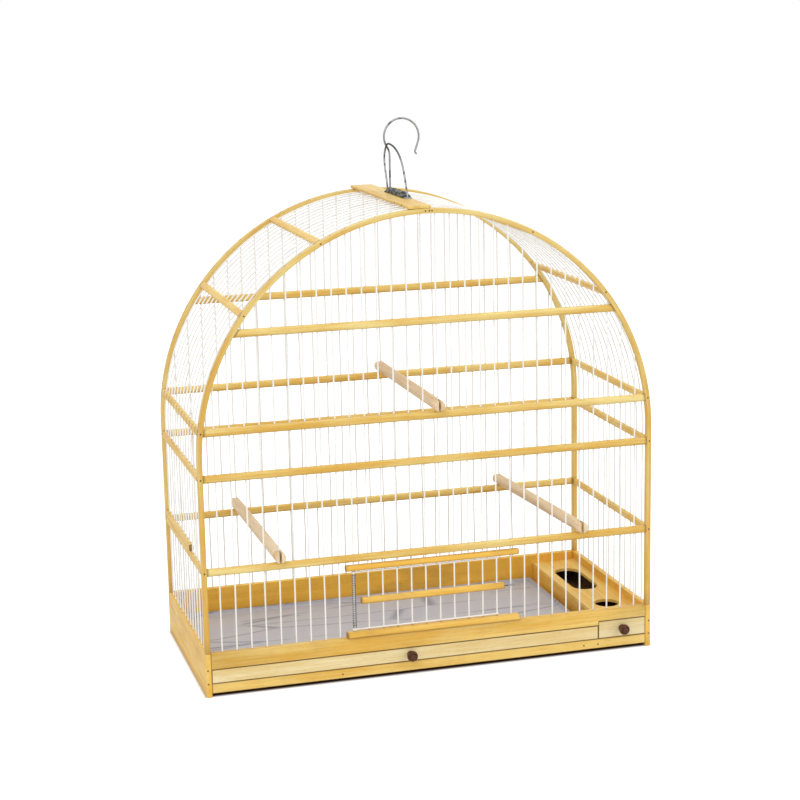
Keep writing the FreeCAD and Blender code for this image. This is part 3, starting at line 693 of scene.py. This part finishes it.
class CAGE_OT_boards(bpy.types.Operator):
    """Adds the boards of the box, the floor and the shelf of the food bay"""
    bl_idname = "cage.boards"
    bl_label = "Box"

    def execute(self, context):
        edge = context.scene.cage_sizes.board_round
        proud, skin, flush = 0.15 * MM, 1.5 * MM, (0, 0, 0)
        inner_x, back_y = corners("side_board_right")[0][0], corners("back_board")[0][1]
        # Amber share: painted shade on the inner faces of the sides and back, and on the floor and partition inside the
        # box; a warmer tone on the front strip, which also gets painted shade in its seams
        for name, node, axis, trim, age, soil in (
                ("side_right", "side_board_right", 1, (-proud, 0, 0),
                 lambda places: np.where(places[:, 0] < inner_x + skin, 0.8, 0.45), 0.0),
                ("side_left", "side_board_left", 1, (proud, 0, 0),
                 lambda places: np.where(places[:, 0] > -inner_x - skin, 0.8, 0.45), 0.0),
                ("back", "back_board", 0, flush,
                 lambda places: np.where(places[:, 1] < back_y + skin, 0.9, 0.1), 0.0),
                ("front_strip", "front_strip", 0, flush, 0.34,
                 seam_shade("front_strip", X_ENDS + Z_FACES, SEAM_WIDTH * edge, 0.7)),
                ("floor", "floor_panel", 1, flush, 0.9, 0.0),
                ("partition", "feeder_partition", 1, flush, 0.85, 0.0)):
            wooden(node, board_of(node, axis, edge, edge, trim), age, soil, name="board_" + name)
        self.front_board(edge)
        dressed("feeder_shelf", "shelf")
        return {"FINISHED"}

    def front_board(self, edge):
        """Board along X whose lower edge steps up over the food drawer's front, with rows at the sill's ends."""
        low, high = corners("front_board")
        drawer_low, drawer_high = corners("food_drawer_front")
        sill_low, sill_high = corners("door_sill")
        gap, steep = 0.4 * MM, 0.02 * MM
        step_x, step_z = drawer_low[0] - gap, drawer_high[2] + gap
        left = [low[0], low[0] + edge, sill_low[0] - 1 * MM, sill_low[0] + 1 * MM, sill_high[0] - 6 * MM,
                sill_high[0] + 1 * MM, step_x - edge, step_x]
        stations = np.array(left + [step_x + steep, step_x + edge, high[0] - edge, high[0]])
        floors = np.where(np.arange(len(stations)) < len(left), low[2], step_z)
        centres = joined(stations, (low[1] + high[1]) / 2, (floors + high[2]) / 2)
        sections = np.stack([rounded_outline(high[1] - low[1], height, edge) for height in high[2] - floors])
        points, _ = sweep(centres, (0, 1, 0), (1, 0, 0), sections)

        def soil(places):
            """Painted shade along the drawer seams and at the ends, and a painted shadow under the door's sill."""
            foot = np.where(places[:, 0] > step_x + 0.1 * edge, step_z, low[2])
            ends = np.minimum(np.abs(places[:, 0] - low[0]), np.abs(places[:, 0] - high[0]))
            shade = near(high[2] - places[:, 2], SEAM_WIDTH * edge)
            shade *= (places[:, 0] > sill_low[0]) & (places[:, 0] < sill_high[0])
            return 0.72 * np.maximum(near(np.minimum(places[:, 2] - foot, ends), SEAM_WIDTH * edge), shade)

        wooden("front_board", grained_by_place(points), 0.34, soil, name="board_front")


class CAGE_OT_arches(bpy.types.Operator):
    """Adds the two bent strips"""
    bl_idname = "cage.arches"
    bl_label = "Bent arches"

    def execute(self, context):
        bend_end = PATH_LENGTH - SPRINGING
        s = np.concatenate([np.linspace(0, SPRINGING, 12), np.linspace(SPRINGING, bend_end, 120)[1:],
                            np.linspace(bend_end, PATH_LENGTH, 12)[1:]])
        centres, outward = arch_path(s)
        outline = rounded_outline(STRIP_THICKNESS, STRIP_DEPTH, context.scene.cage_sizes.arch_round)

        def legs(places):
            """Amber on the legs, less of it towards the crown: painted shade, with the crown left paler."""
            return 0.36 * np.clip(1.35 - (places[:, 2] - BASE_TOP) / SPRINGING, 0.1, 1)

        def feet(places):
            """A little darker everywhere, with painted shade just over the box, where the legs meet it."""
            return 0.1 + 0.3 * near(np.abs(places[:, 2] - BASE_TOP), 3 * MM)

        for face, y in (("front", FRONT_Y), ("back", BACK_Y)):
            path = centres + np.array([0, y, 0])
            wooden("arch_" + face, sweep(path, outward, tangents(path), outline), legs, feet,
                   name="bent_strip_" + face)
        return {"FINISHED"}


class CAGE_OT_rails(bpy.types.Operator):
    """Adds the rails of the front and back, the slats of the sides and roof, and the ridge board"""
    bl_idname = "cage.rails"
    bl_label = "Rails and slats"

    def execute(self, context):
        edge = context.scene.cage_sizes.rail_round
        for level in "abcd":
            # the back rails get some amber: painted shade on the inside of the cage
            for face, age in (("front", 0.0), ("back", 0.22)):
                node = "rail_" + face + "_" + level
                wooden(node, rail_block(node, edge), age, rail_shade(node))
        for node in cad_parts:
            if node.startswith("slat_") or node == "side_bar_left":
                self.slat(node, edge)
        # the ridge gets a little amber and is a little darker all over
        wooden("ridge_board", board_of("ridge_board", 1, 1.0 * MM, 0.8 * MM), 0.25, 0.07)
        return {"FINISHED"}

    def slat(self, node, edge):
        """Slat along Y, turned so that its width lies along the arch. The side bar lies on the lowest slat."""
        low, high = corners(node)
        side_low, side_high = corners("slat_left_a")
        if node == "side_bar_left":
            width, front_overlap = high[2] - low[2], 0
            s = side_high[2] - BASE_TOP + width / 2
        else:
            width, front_overlap = side_high[2] - side_low[2], OVERLAP
            s = path_at(node.replace("left", "right"))
        point, outward = arch_path(s)
        if "left" in node:
            point, outward = point * [-1, 1, 1], outward * [-1, 1, 1]
        start, end = point + [0, low[1] - front_overlap, 0], point + [0, high[1] + OVERLAP, 0]
        block = bar(start, end, outward, STRIP_THICKNESS, width, edge, 0.3 * MM, seeded(node))
        # painted shade at the slat's ends, where it meets the arches
        wooden(node, block, 0.3, seam_shade(node, Y_ENDS, 2.4 * MM, 0.7))


def wander(node, count, spread, run, wavelength):
    """Sideways wander of some wires, in two directions: slow sines along their run."""
    rng = seeded(node)
    phases = rng.uniform(0, FULL_TURN, (2, count, 1))
    bows = rng.normal(0, spread, (2, count, 1))
    return bows * np.sin(FULL_TURN * run / wavelength + phases)


def coated(node, blocks, body="frame"):
    """Coated wires in the place of a CAD node."""
    add_piece("coated_" + node, blocks, wire_coat(), body, [node])


class CAGE_OT_wires(bpy.types.Operator):
    """Adds the straight wires of the front and back and the bent wires of the sides and roof"""
    bl_idname = "cage.wires"
    bl_label = "Coated wires"

    def execute(self, context):
        sizes = context.scene.cage_sizes
        last = FRONT_GAPS - 1
        for name, first_wire, last_wire, y, sink in (
                ("front_left", 1, PIVOT_WIRE, FRONT_Y, SINK), ("front_right", CATCH_WIRE, last, FRONT_Y, SINK),
                ("front_middle", PIVOT_WIRE + 1, CATCH_WIRE - 1, FRONT_Y, 0), ("back", 1, last, BACK_Y, SINK)):
            self.straight("wires_" + name, np.arange(first_wire, last_wire + 1), y, sink, sizes)
        level, lower, upper = (path_at("slat_" + name) for name in ("right_c", "roof_right_lower", "roof_right_upper"))
        whole = PATH_LENGTH
        for name, s0, s1 in (("right", -SINK, level), ("left", whole - level, whole + SINK),
                             ("roof_right_lower", level, lower), ("roof_right_upper", lower, upper),
                             ("roof_left_lower", whole - lower, whole - level),
                             ("roof_left_upper", whole - upper, whole - lower),
                             ("roof_crown", upper, whole - upper)):
            self.bent("wires_" + name, s0, s1, sizes)
        return {"FINISHED"}

    def straight(self, node, numbers, y, sink, sizes):
        """Upright wires: centre lines wander sideways by a slow sine."""
        x = wire_x(numbers)
        foot = corners(node)[0][2] - sink
        top = SPRINGING_Z + np.sqrt((HALF_WIDTH - STRIP_THICKNESS / 4)**2 - x**2)
        z = foot + np.linspace(0, 1, 28)[None, :] * (top[:, None] - foot)
        sideways = wander(node, len(x), sizes.wire_bow, z[None], 160 * MM)
        centres = joined(x[:, None] + sideways[0], y + sideways[1], z)
        coated(node, [sweep(centres, (1, 0, 0), (0, 0, 1), sizes.wire_radius * circle(10))])

    def bent(self, node, s0, s1, sizes):
        """Wires bent over the arch: rows every two degrees or so, with a slow wave in and out."""
        y = side_wire_y(np.arange(1, SIDE_GAPS))
        s = np.linspace(s0, s1, max(6, int((s1 - s0) / (9 * MM))))
        centres, outward = arch_path(s)
        envelope = np.sin(math.pi * (s - s0) / (s1 - s0))[None]
        sideways = wander(node, len(y), sizes.wire_bow, s[None, None], 130 * MM) * envelope
        path = (centres[None] + sideways[0][..., None] * outward[None]
                + (y[:, None] + sideways[1])[..., None] * np.array([0, 1, 0]))
        coated(node, [sweep(path, outward[None], tangents(centres)[None], sizes.wire_radius * circle(8))])


def level_ring(turn):
    """Unit vectors in the XY plane at some turns."""
    return joined(np.cos(turn), np.sin(turn), 0.0)


class CAGE_OT_door(bpy.types.Operator):
    """Adds the door's lintel and sill, its wire leaf, grip and catch, and the closing spring"""
    bl_idname = "cage.door"
    bl_label = "Door"

    def execute(self, context):
        for node, body, age in (("door_lintel", "frame", 0.8), ("door_sill", "frame", 0.6), ("door_grip", "door", 0.7)):
            # painted shade at each bar's ends and along its lower face
            wooden(node, board_of(node, 0, 1.6 * MM, 1.0 * MM), age,
                   seam_shade(node, X_ENDS + Z_FACES[:1], 2.2 * MM, 0.6), body=body)
        self.leaf(context.scene.cage_sizes.wire_radius)
        self.catch()
        self.spring(context.scene.cage_sizes)
        return {"FINISHED"}

    def leaf(self, r):
        """Uprights and two cross wires as straight tubes, and an eye of each cross wire as a nearly closed
        ring, whose end stays just short of its start."""
        low, high = corners("door_leaf")
        levels = low[2] + r, high[2] - r
        x = wire_x(np.arange(PIVOT_WIRE + 1, CATCH_WIRE))
        uprights = joined(x[:, None], FRONT_Y, np.linspace(*levels, 10))
        pivot = wire_x(PIVOT_WIRE)
        mean = pivot - low[0] - r
        runs = np.array([[[pivot + mean, FRONT_Y, level], [high[0] - 0.3 * MM, FRONT_Y, level]]
                         for level in levels])
        outward = level_ring(FULL_TURN * np.linspace(0, 0.985, 25))
        rings = np.stack([[pivot, FRONT_Y, level] + mean * outward for level in levels])
        heading = np.cross([0, 0, 1], outward)
        wire = r * circle(10)
        coated("door_leaf", [sweep(uprights, (1, 0, 0), (0, 0, 1), wire), sweep(runs, (0, 1, 0), (1, 0, 0), wire),
                             sweep(rings, outward[None], heading[None], wire)], "door")

    def catch(self):
        """Short pin along X with bevelled ends."""
        low, high = corners("door_catch")
        _, y, z = middle("door_catch")
        tip, radius, bevel, length = 0.35 * MM, 0.6 * MM, 0.3 * MM, high[0] - low[0]
        profile = [(tip, 0), (radius, bevel), (radius, length - bevel), (tip, length)]
        steel_wire("bent_catch", [turned(profile, (low[0], y, z), (1, 0, 0), (0, 1, 0), 10)], "door_catch", "door")

    def spring(self, sizes):
        """Helix round the pivot wire: the centre line turns steadily as it climbs between the door's eyes,
        and the first and last turns lie closer."""
        low, high = corners("door_spring")
        r = sizes.spring_radius
        steps_per_turn = 14
        t = np.linspace(0, 1, sizes.spring_turns * steps_per_turn + 1)
        outward = level_ring(FULL_TURN * sizes.spring_turns * t)
        path = middle("door_spring") + ((high[0] - low[0]) / 2 - r) * outward
        path[:, 2] = low[2] + r + (t - 0.012 * np.sin(FULL_TURN * t)) * (high[2] - low[2] - 2 * r)
        along = tangents(path)
        outward -= np.sum(outward * along, -1, keepdims=True) * along
        outward /= np.linalg.norm(outward, axis=-1, keepdims=True)
        steel_wire("wound_door_spring", [sweep(path, outward, along, r * circle(8))], "door_spring")


# Radius and distance from the foot
KNOB_PROFILE = np.array([
    (2.0, -4.0), (2.0, -0.02), (3.8, 0.0), (3.75, 0.5), (3.3, 1.1), (2.75, 1.9), (2.6, 2.6), (2.8, 3.1), (3.7, 3.6),
    (4.7, 4.4), (5.25, 5.3), (5.5, 6.3), (5.45, 7.4), (5.2, 8.5), (4.8, 9.3), (4.3, 9.75), (3.8, 9.7), (3.5, 9.2),
    (3.15, 9.15), (2.9, 9.7), (2.3, 10.4), (1.4, 10.85), (0.7, 11.0), (0.05, 11.0)]) * MM


class CAGE_OT_drawers(bpy.types.Operator):
    """Adds the sliding tray, the food drawer and their turned knobs"""
    bl_idname = "cage.drawers"
    bl_label = "Tray and food drawer"

    def execute(self, context):
        self.pan()
        for body, slot, radius, ease, reach, amount in (
                ("tray", "pale_wood", 0.5 * MM, 0.4 * MM, 0.75 * MM, 0.8),
                ("food_drawer", "varnished_wood", 0.6 * MM, 0.5 * MM, 1.0 * MM, 0.75)):
            node = body + "_front"
            # painted shade in the seams round each front
            wooden(node, board_of(node, 0, radius, ease), 0.0, seam_shade(node, X_ENDS + Z_FACES, reach, amount),
                   "strip", body)
        for body in ("tray", "food_drawer"):
            x, _, z = middle(body + "_knob")
            add_piece("turned_" + body + "_knob", [turned(KNOB_PROFILE, (x, FACE_Y, z), (0, -1, 0), (1, 0, 0))],
                      knob_lacquer(), body, [body + "_knob"], smooth_degrees=60)
        dressed("food_drawer_box", "drawer")
        return {"FINISHED"}

    def pan(self):
        """Folded sheet as closed rings of rectangles: across the underside, up the walls, over the lip, down
        inside and across the bottom, whose height follows a sum of slow sines like dented sheet. Towards the
        middle the rings turn oval. The front wall is higher than the other three."""
        low, high = corners("tray_pan")
        sheet, rim, lean, rings = 0.8 * MM, 5.5 * MM, 0.35 * MM, 24
        half = (high[:2] - low[:2]) / 2
        centre = (high[:2] + low[:2]) / 2
        deepest = half[1] - 0.5 * MM
        inwards, flat_rings = np.linspace(0, 1, rings)**1.6, np.zeros(rings)
        inset = np.concatenate([(deepest * inwards)[::-1],
                                [0, 0, 0, 0.2 * sheet, 0.8 * sheet, sheet, sheet, sheet + lean],
                                sheet + 2 * lean + (deepest - sheet - 2 * lean) * inwards])
        share = np.concatenate([flat_rings, [0.1, 0.5, 0.97, 1, 1, 0.97, 0.5, 0.12], flat_rings])
        lift = np.concatenate([flat_rings, [0, 0, 0, 0, 0, 0, 0, 1], np.ones(rings)]) * sheet
        side_x, side_y = np.linspace(-1, 1, 110), np.linspace(-1, 1, 50)[1:-1]
        front_and_right = np.concatenate([joined(side_x, -1.0), joined(1.0, side_y)])
        outline = np.concatenate([front_and_right, -front_and_right])
        ovals = outline / np.linalg.norm(outline, axis=1, keepdims=True)
        shapes = outline + (ovals - outline) * ((inset / deepest)**4)[:, None, None]
        flat = centre + shapes * (half - inset[:, None])[:, None]
        x, y = flat[..., 0], flat[..., 1]
        front = np.clip((low[1] + 0.9 * MM - y) / (0.4 * MM), 0, 1)
        height = rim + (high[2] - low[2] - rim) * front
        away = np.clip((inset[:, None] - 2 * MM) / (10 * MM), 0, 1)
        dents = (np.sin(x / (31 * MM) + 1.3 * np.sin(y / (23 * MM))) * np.sin(y / (27 * MM) + x / (90 * MM))
                 + 0.5 * np.sin(x / (13 * MM) - y / (17 * MM)))
        z = low[2] + lift[:, None] + share[:, None] * height + 0.2 * MM * (dents + 1.5) * away
        add_piece("pressed_tray_pan", [grained_by_place(joined(x, y, z)[None])], tray_sheet(), "tray",
                  ["tray_pan"], smooth_degrees=40)


# Wires of the front and back that each perch straddles
PERCH_WIRES = {"left": (5, 5), "right": (26, 25), "upper": (16, 16)}


class CAGE_OT_perches(bpy.types.Operator):
    """Adds the three perches, slotted at both ends to straddle a wire"""
    bl_idname = "cage.perches"
    bl_label = "Perches"

    def execute(self, context):
        for side in PERCH_WIRES:
            self.perch(side)
        return {"FINISHED"}

    def perch(self, side):
        """Round rod between its wires, and at each end two prongs whose section is a circle cut off by the slot."""
        low, high = corners("perch_" + side)
        radius = (high[2] - low[2]) / 2
        x0, x1 = (wire_x(number) for number in PERCH_WIRES[side])
        half_slot, slot_depth, ease = 1.2 * MM, 2.1 * MM, 0.8 * MM
        across, along = (1, 0, 0), (0, 1, 0)

        def centres(y):
            return joined(x0 + (x1 - x0) * (y - FRONT_Y) / (BACK_Y - FRONT_Y), y, (low[2] + high[2]) / 2)

        y0, y1 = FRONT_Y + slot_depth, BACK_Y - slot_depth
        stations = np.linspace(y0, y1, 30)
        wobble = 1 - 0.006 * (1 + np.sin(stations / (19 * MM)))
        blocks = [sweep(centres(stations), across, along, radius * wobble[:, None, None] * circle(28)[None])]
        spread = math.acos(half_slot / radius)
        for turn in (0, math.pi):
            arc = np.linspace(-spread, spread, 16) + turn
            flat = half_slot * np.sign(math.cos(turn))
            rim = unit(arc) * radius * 0.994
            for wire, y, shrink in (
                    (x0, [low[1], low[1] + ease / 3, low[1] + ease, y0], [0.86, 0.96, 1, 1]),
                    (x1, [y1, high[1] - ease, high[1] - ease / 3, high[1]], [1, 1, 0.96, 0.86])):
                path = centres(np.array(y))
                section = rim[None] * np.array(shrink)[:, None, None]
                edge = (wire - path[:, 0] + flat)[:, None]
                cut = np.maximum if flat > 0 else np.minimum
                section[..., 0] = cut(section[..., 0], edge)
                blocks.append(sweep(path, across, along, section))
        add_piece("round_perch_" + side, blocks, wood("perch"), side + "_perch", ["perch_" + side])


class CAGE_OT_hanger(bpy.types.Operator):
    """Adds the pressed saddle, the bail and the swivelling hook"""
    bl_idname = "cage.hanger"
    bl_label = "Hanger"

    def execute(self, context):
        r = context.scene.cage_sizes.hanger_radius
        self.saddle()
        self.bail(r)
        self.hook(r)
        return {"FINISHED"}

    def saddle(self):
        """Pressed cap with flat tabs: rows along Y, whose height is a superellipse across and along, with
        hammered unevenness, over a flat foot."""
        low, high = corners("hanger_saddle")
        centre = (low + high) / 2
        half_width = (high[0] - low[0]) / 2
        half_length = (high[1] - low[1]) / 2 - 2.5 * MM
        sheet, dome_half = 1.0 * MM, 34 * MM
        y = np.sin(np.linspace(-math.pi / 2, math.pi / 2, 60)) * half_length
        round_end = np.clip((np.abs(y) - (half_length - half_width)) / half_width, 0, 1)
        width = half_width * np.sqrt(np.clip(1 - round_end**2, 0.0004, 1))
        across = np.linspace(1, -1, 21)
        x = width[:, None] * across[None]
        along_fall = np.sqrt(np.clip(1 - np.abs(y / dome_half)**5, 0, 1))
        across_fall = np.sqrt(np.clip(1 - np.abs(x / half_width)**3, 0, 1))
        uneven = 1 - 0.14 * (1 + np.sin(y[:, None] / (2.6 * MM) + x / (1.6 * MM)) * np.cos(x / (2.1 * MM) + 1))
        dome = (high[2] - low[2] - sheet) * along_fall[:, None] * across_fall * uneven
        top = joined(x, sheet * np.clip(1.6 - np.abs(across), 0.4, 1) + dome)
        foot = joined(x[:, ::-1], 0.0)[:, 1:-1]
        sections = np.concatenate([top, foot], axis=1) * [-1, 1]
        points, grain = sweep(joined(centre[0], centre[1] + y, low[2]), (-1, 0, 0), (0, 1, 0), sections)

        def tabs(places):
            return np.clip((np.abs(places[:, 1] - centre[1]) - dome_half) / (2 * MM), 0, 1)

        add_piece("pressed_saddle", [(points[:, :, ::-1], grain[:, :, ::-1])], saddle_steel(), "frame",
                  ["hanger_saddle"], tabs, smooth_degrees=50)

    def bail(self, r):
        """Wire bail in the YZ plane: a smooth curve up the back, over the hook and down the front."""
        low, high = corners("hanger_bail")
        x = middle("hanger_bail")[0]
        y, foot, over = middle("hanger_saddle")[1], corners("hanger_saddle")[0][2], middle("hanger_hook")[1]
        half_spread, feet = 36.5 * MM, foot + 1.0 * MM
        places = [(y + half_spread, low[2]), (y + half_spread, feet), (y + half_spread + 10 * MM, foot + 33 * MM),
                  (over, high[2] - r), (y - 16 * MM, foot + 36 * MM), (y - half_spread + 3 * MM, foot + 9 * MM),
                  (y - half_spread, feet), (y - half_spread, low[2])]
        turn = np.radians([90, 90, 90, 180, 220, 244, 270, 270])
        curve = hermite(places, unit(turn), 12)
        path = joined(x, curve[:, 0], curve[:, 1])
        steel_wire("bent_bail", [sweep(path, (1, 0, 0), tangents(path), r * circle(14))], "hanger_bail")

    def hook(self, r):
        """One wire in the XZ plane: shank, kink, open loop, tail and curled tip, as lines and arcs."""
        low, high = corners("hanger_hook")
        x, y = middle("hanger_saddle")[0] + 0.45 * MM, middle("hanger_hook")[1]
        lean, close, curl = np.radians([33.5, 19, 95])
        kink_radius, loop_radius, tail, curl_radius = 15 * MM, 18.5 * MM, 9.5 * MM, 2.6 * MM

        def arc(centre, radius, first, last, steps):
            return centre + radius * unit(np.linspace(first, last, steps))

        shoulder = np.array([x, corners("hanger_saddle")[0][2] + 38 * MM])
        kink = arc(shoulder - [kink_radius, 0], kink_radius, 0, lean, 8)
        loop_centre = kink[-1] + loop_radius * unit(lean)
        loop = arc(loop_centre, loop_radius, math.pi + lean, -close, 60)
        tail_end = loop[-1] + tail * np.array([-math.sin(close), -math.cos(close)])
        curl_centre = tail_end + curl_radius * np.array([math.cos(close), -math.sin(close)])
        tip = arc(curl_centre, curl_radius, math.pi - close, math.pi - close + curl, 12)
        shank = joined(x, np.linspace(low[2] + 1.0 * MM, shoulder[1], 8))
        line = np.concatenate([shank, kink[1:], loop[1:], tip])
        line[:, 1] += (high[2] - r - line[:, 1].max()) * np.clip((line[:, 1] - shoulder[1]) / (5 * MM), 0, 1)
        path = joined(line[:, 0], y, line[:, 1])
        head = turned(np.array([(0.05, 0), (2.3, 0.0), (2.3, 1.0), (0.9, 1.02)]) * MM, (x, y, low[2]), (0, 0, 1),
                      (1, 0, 0), 20)
        steel_wire("bent_hook", [sweep(path, (0, 1, 0), tangents(path), r * circle(14)), head], "hanger_hook", "hook")


class CAGE_OT_nails(bpy.types.Operator):
    """Adds the pin heads that show in the joints"""
    bl_idname = "cage.nails"
    bl_label = "Pin heads"

    def execute(self, context):
        pins = []

        def pin(place, axis):
            pins.append((place, axis))

        forward, backward = (0, -1, 0), (0, 1, 0)
        base_low, base_high = corners("side_board_right")
        for side in (-1, 1):
            for name in ("right_a", "right_b", "right_c", "roof_right_lower", "roof_right_upper"):
                point, _ = arch_path(path_at("slat_" + name))
                pin((side * point[0], FACE_Y, point[2]), forward)
                pin((side * point[0], back_high[1], point[2]), backward)
            for level in "ab":
                for y in (FRONT_Y, BACK_Y):
                    pin((side * OUTER_RADIUS, y, middle("rail_front_" + level)[2]), (side, 0, 0))
            for z in (14 * MM, 28 * MM):
                pin((side * (base_high[0] - 2.4 * MM), base_low[1], z), forward)
            for z in (12 * MM, 38 * MM):
                pin((side * (base_high[0] - 0.3 * MM), base_high[1] - 3.5 * MM, z), (side, 0, 0))
        for x in (-97 * MM, 161 * MM, 176.5 * MM):
            pin((x, base_low[1], middle("front_strip")[2] - 0.6 * MM), forward)
        for x in (-150 * MM, 0.0, 150 * MM):
            pin((x, base_high[1], 16 * MM), backward)
        crown = OUTER_RADIUS + SPRINGING_Z - 2.4 * MM
        for x in (-2.5 * MM, 1.4 * MM, 4.1 * MM):
            pin((x, FACE_Y, crown), forward)
            pin((x, back_high[1], crown), backward)
        ridge_low, ridge_high = corners("ridge_board")
        for y in (-58.6 * MM, -83.2 * MM):
            pin((ridge_low[0], y, ridge_high[2] - 1.3 * MM), (-1, 0, 0))
        places, axes = (np.array(part, float) for part in zip(*pins))
        rise = np.array([-0.6, 0.0, 0.14, 0.22]) * MM
        rings = np.array([1.0, 1.0, 0.8, 0.3]) * context.scene.cage_sizes.nail_radius
        centres = places[:, None] + axes[:, None] * rise[None, :, None]
        across = np.where(np.abs(axes[:, :1]) > 0.5, [[0.0, 1.0, 0.0]], [[1.0, 0.0, 0.0]])
        block = sweep(centres, across[:, None], axes[:, None], rings[:, None, None] * circle(8)[None])
        add_piece("pin_heads", [block], rusty_pin(), "frame")
        return {"FINISHED"}


class CAGE_OT_stage(bpy.types.Operator):
    """Adds the floor, the soft lamps, the white surroundings and the camera"""
    bl_idname = "cage.stage"
    bl_label = "Stage"

    def execute(self, context):
        self.floor(context)
        self.surroundings(context)
        for name, place, size, power in (("Key", (-1.6, -2.2, 2.4), 2.4, 42.0), ("Fill", (2.2, -1.6, 1.5), 2.2, 22.0),
                                         ("Top", (0.0, 0.6, 2.6), 2.4, 20.0)):
            self.lamp(name, place, size, power)
        self.camera(context)
        context.scene.view_settings.view_transform = "Standard"
        return {"FINISHED"}

    def floor(self, context):
        """Wide flat disc under the cage, whose colour fades into the surroundings for the camera. Under the box its
        colour is a painted shadow, dark brown."""
        rim = np.pad(6.0 * circle(96), ((0, 0), (0, 1)))
        mesh = bpy.data.meshes.new("floor")
        mesh.from_pydata(rim.tolist(), [], [list(range(len(rim)))])
        floor = bpy.data.objects.new("floor", mesh)
        context.scene.collection.objects.link(floor)
        made, g, shader = new_material("Pale floor", specular=0.0)
        x, y, _ = g.axes()
        beyond = g.maths("MAXIMUM", g.minus(g.maths("ABSOLUTE", x), OUTER_RADIUS),
                         g.minus(g.apart(y, MIDDLE_Y), HALF_DEPTH))
        open_floor = g.step(beyond, -3 * MM, 5 * MM)
        # painted shadow: the floor's colour turns dark brown under the box
        g.fill(shader, {"Roughness": 0.9, "Base Color": g.mix(open_floor, SHADED_FLOOR, tint("floor"))})
        lift = g.add("Emission", {"Color": WHITE, "Strength": g.times(open_floor, 0.5)}).outputs[0]
        both = g.add("AddShader", {0: shader.outputs[0], 1: lift}).outputs[0]
        seen = g.add("LightPath").outputs["Is Camera Ray"]
        chosen = g.add("MixShader", {0: seen, 1: shader.outputs[0], 2: both}).outputs[0]
        g.fill(g.tree.nodes["Material Output"], {"Surface": chosen})
        mesh.materials.append(made)

    def surroundings(self, context):
        """White to the camera, to mirrors and through glass, and a soft grey light for the rest."""
        world = bpy.data.worlds.new("Surroundings")
        context.scene.world = world
        world.use_nodes = True
        g = Shades(world.node_tree)
        g.tree.nodes.clear()
        path = g.add("LightPath").outputs
        shown = g.maths("MAXIMUM", path["Is Camera Ray"],
                        g.maths("MAXIMUM", path["Is Glossy Ray"], path["Is Transmission Ray"]))
        soft, white = (g.add("Background", {"Color": WHITE, "Strength": strength}).outputs[0]
                       for strength in (0.58, 1.0))
        g.add("OutputWorld", {"Surface": g.add("MixShader", {0: shown, 1: soft, 2: white}).outputs[0]})

    def lamp(self, name, place, size, power):
        """Square area lamp that faces the middle of the cage."""
        light = bpy.data.lights.new(name, "AREA")
        light.size = size
        light.energy = power
        lamp = bpy.data.objects.new(name, light)
        bpy.context.scene.collection.objects.link(lamp)
        cage_middle = [0, 0, 0.25]
        back = np.array(place) - cage_middle
        back /= np.linalg.norm(back)
        right = np.cross([0, 0, 1], back)
        right /= np.linalg.norm(right)
        turned_to = np.eye(4)
        turned_to[:3, :3], turned_to[:3, 3] = np.stack([right, np.cross(back, right), back], axis=1), place
        lamp.matrix_world = Matrix(turned_to.tolist())

    def camera(self, context):
        """Camera at the photograph's place, with its axes as columns."""
        data = bpy.data.cameras.new("Camera")
        data.lens = 88.26
        data.sensor_width = 36.0
        data.sensor_fit = "HORIZONTAL"
        camera = bpy.data.objects.new("Camera", data)
        context.scene.collection.objects.link(camera)
        right, upward, back = (0.96055, -0.27741, -0.01955), (0.07684, 0.1972, 0.97735), (-0.26727, -0.9403, 0.21073)
        place = (-0.54593, -1.91279, 0.68962)
        camera.matrix_world = Matrix([*zip(right, upward, back, place), (0, 0, 0, 1)])
        context.scene.camera = camera


OPERATORS = (CAGE_OT_boards, CAGE_OT_arches, CAGE_OT_rails, CAGE_OT_wires, CAGE_OT_door, CAGE_OT_drawers,
             CAGE_OT_perches, CAGE_OT_hanger, CAGE_OT_nails, CAGE_OT_stage)


class CAGE_PT_panel(bpy.types.Panel):
    """Sizes, colours and pieces of the cage"""
    bl_idname = "CAGE_PT_panel"
    bl_label = "Songbird cage"
    bl_space_type = "VIEW_3D"
    bl_region_type = "UI"
    bl_category = "Cage"

    def draw(self, context):
        for group in (context.scene.cage_sizes, context.scene.cage_finish):
            column = self.layout.column()
            for name in group.__annotations__:
                column.prop(group, name)
        for kind in OPERATORS:
            self.layout.operator(kind.bl_idname, text=kind.bl_label)


CLASSES = (CageSizes, CageFinish) + OPERATORS + (CAGE_PT_panel,)


def register():
    for kind in CLASSES:
        bpy.utils.register_class(kind)
    bpy.types.Scene.cage_sizes = bpy.props.PointerProperty(type=CageSizes)
    bpy.types.Scene.cage_finish = bpy.props.PointerProperty(type=CageFinish)


def unregister():
    del bpy.types.Scene.cage_finish
    del bpy.types.Scene.cage_sizes
    for kind in reversed(CLASSES):
        bpy.utils.unregister_class(kind)


def main():
    """Builds the whole cage."""
    register()
    for kind in OPERATORS:
        group, name = kind.bl_idname.split(".")
        getattr(getattr(bpy.ops, group), name)()


if __name__ == "__main__":
    main()
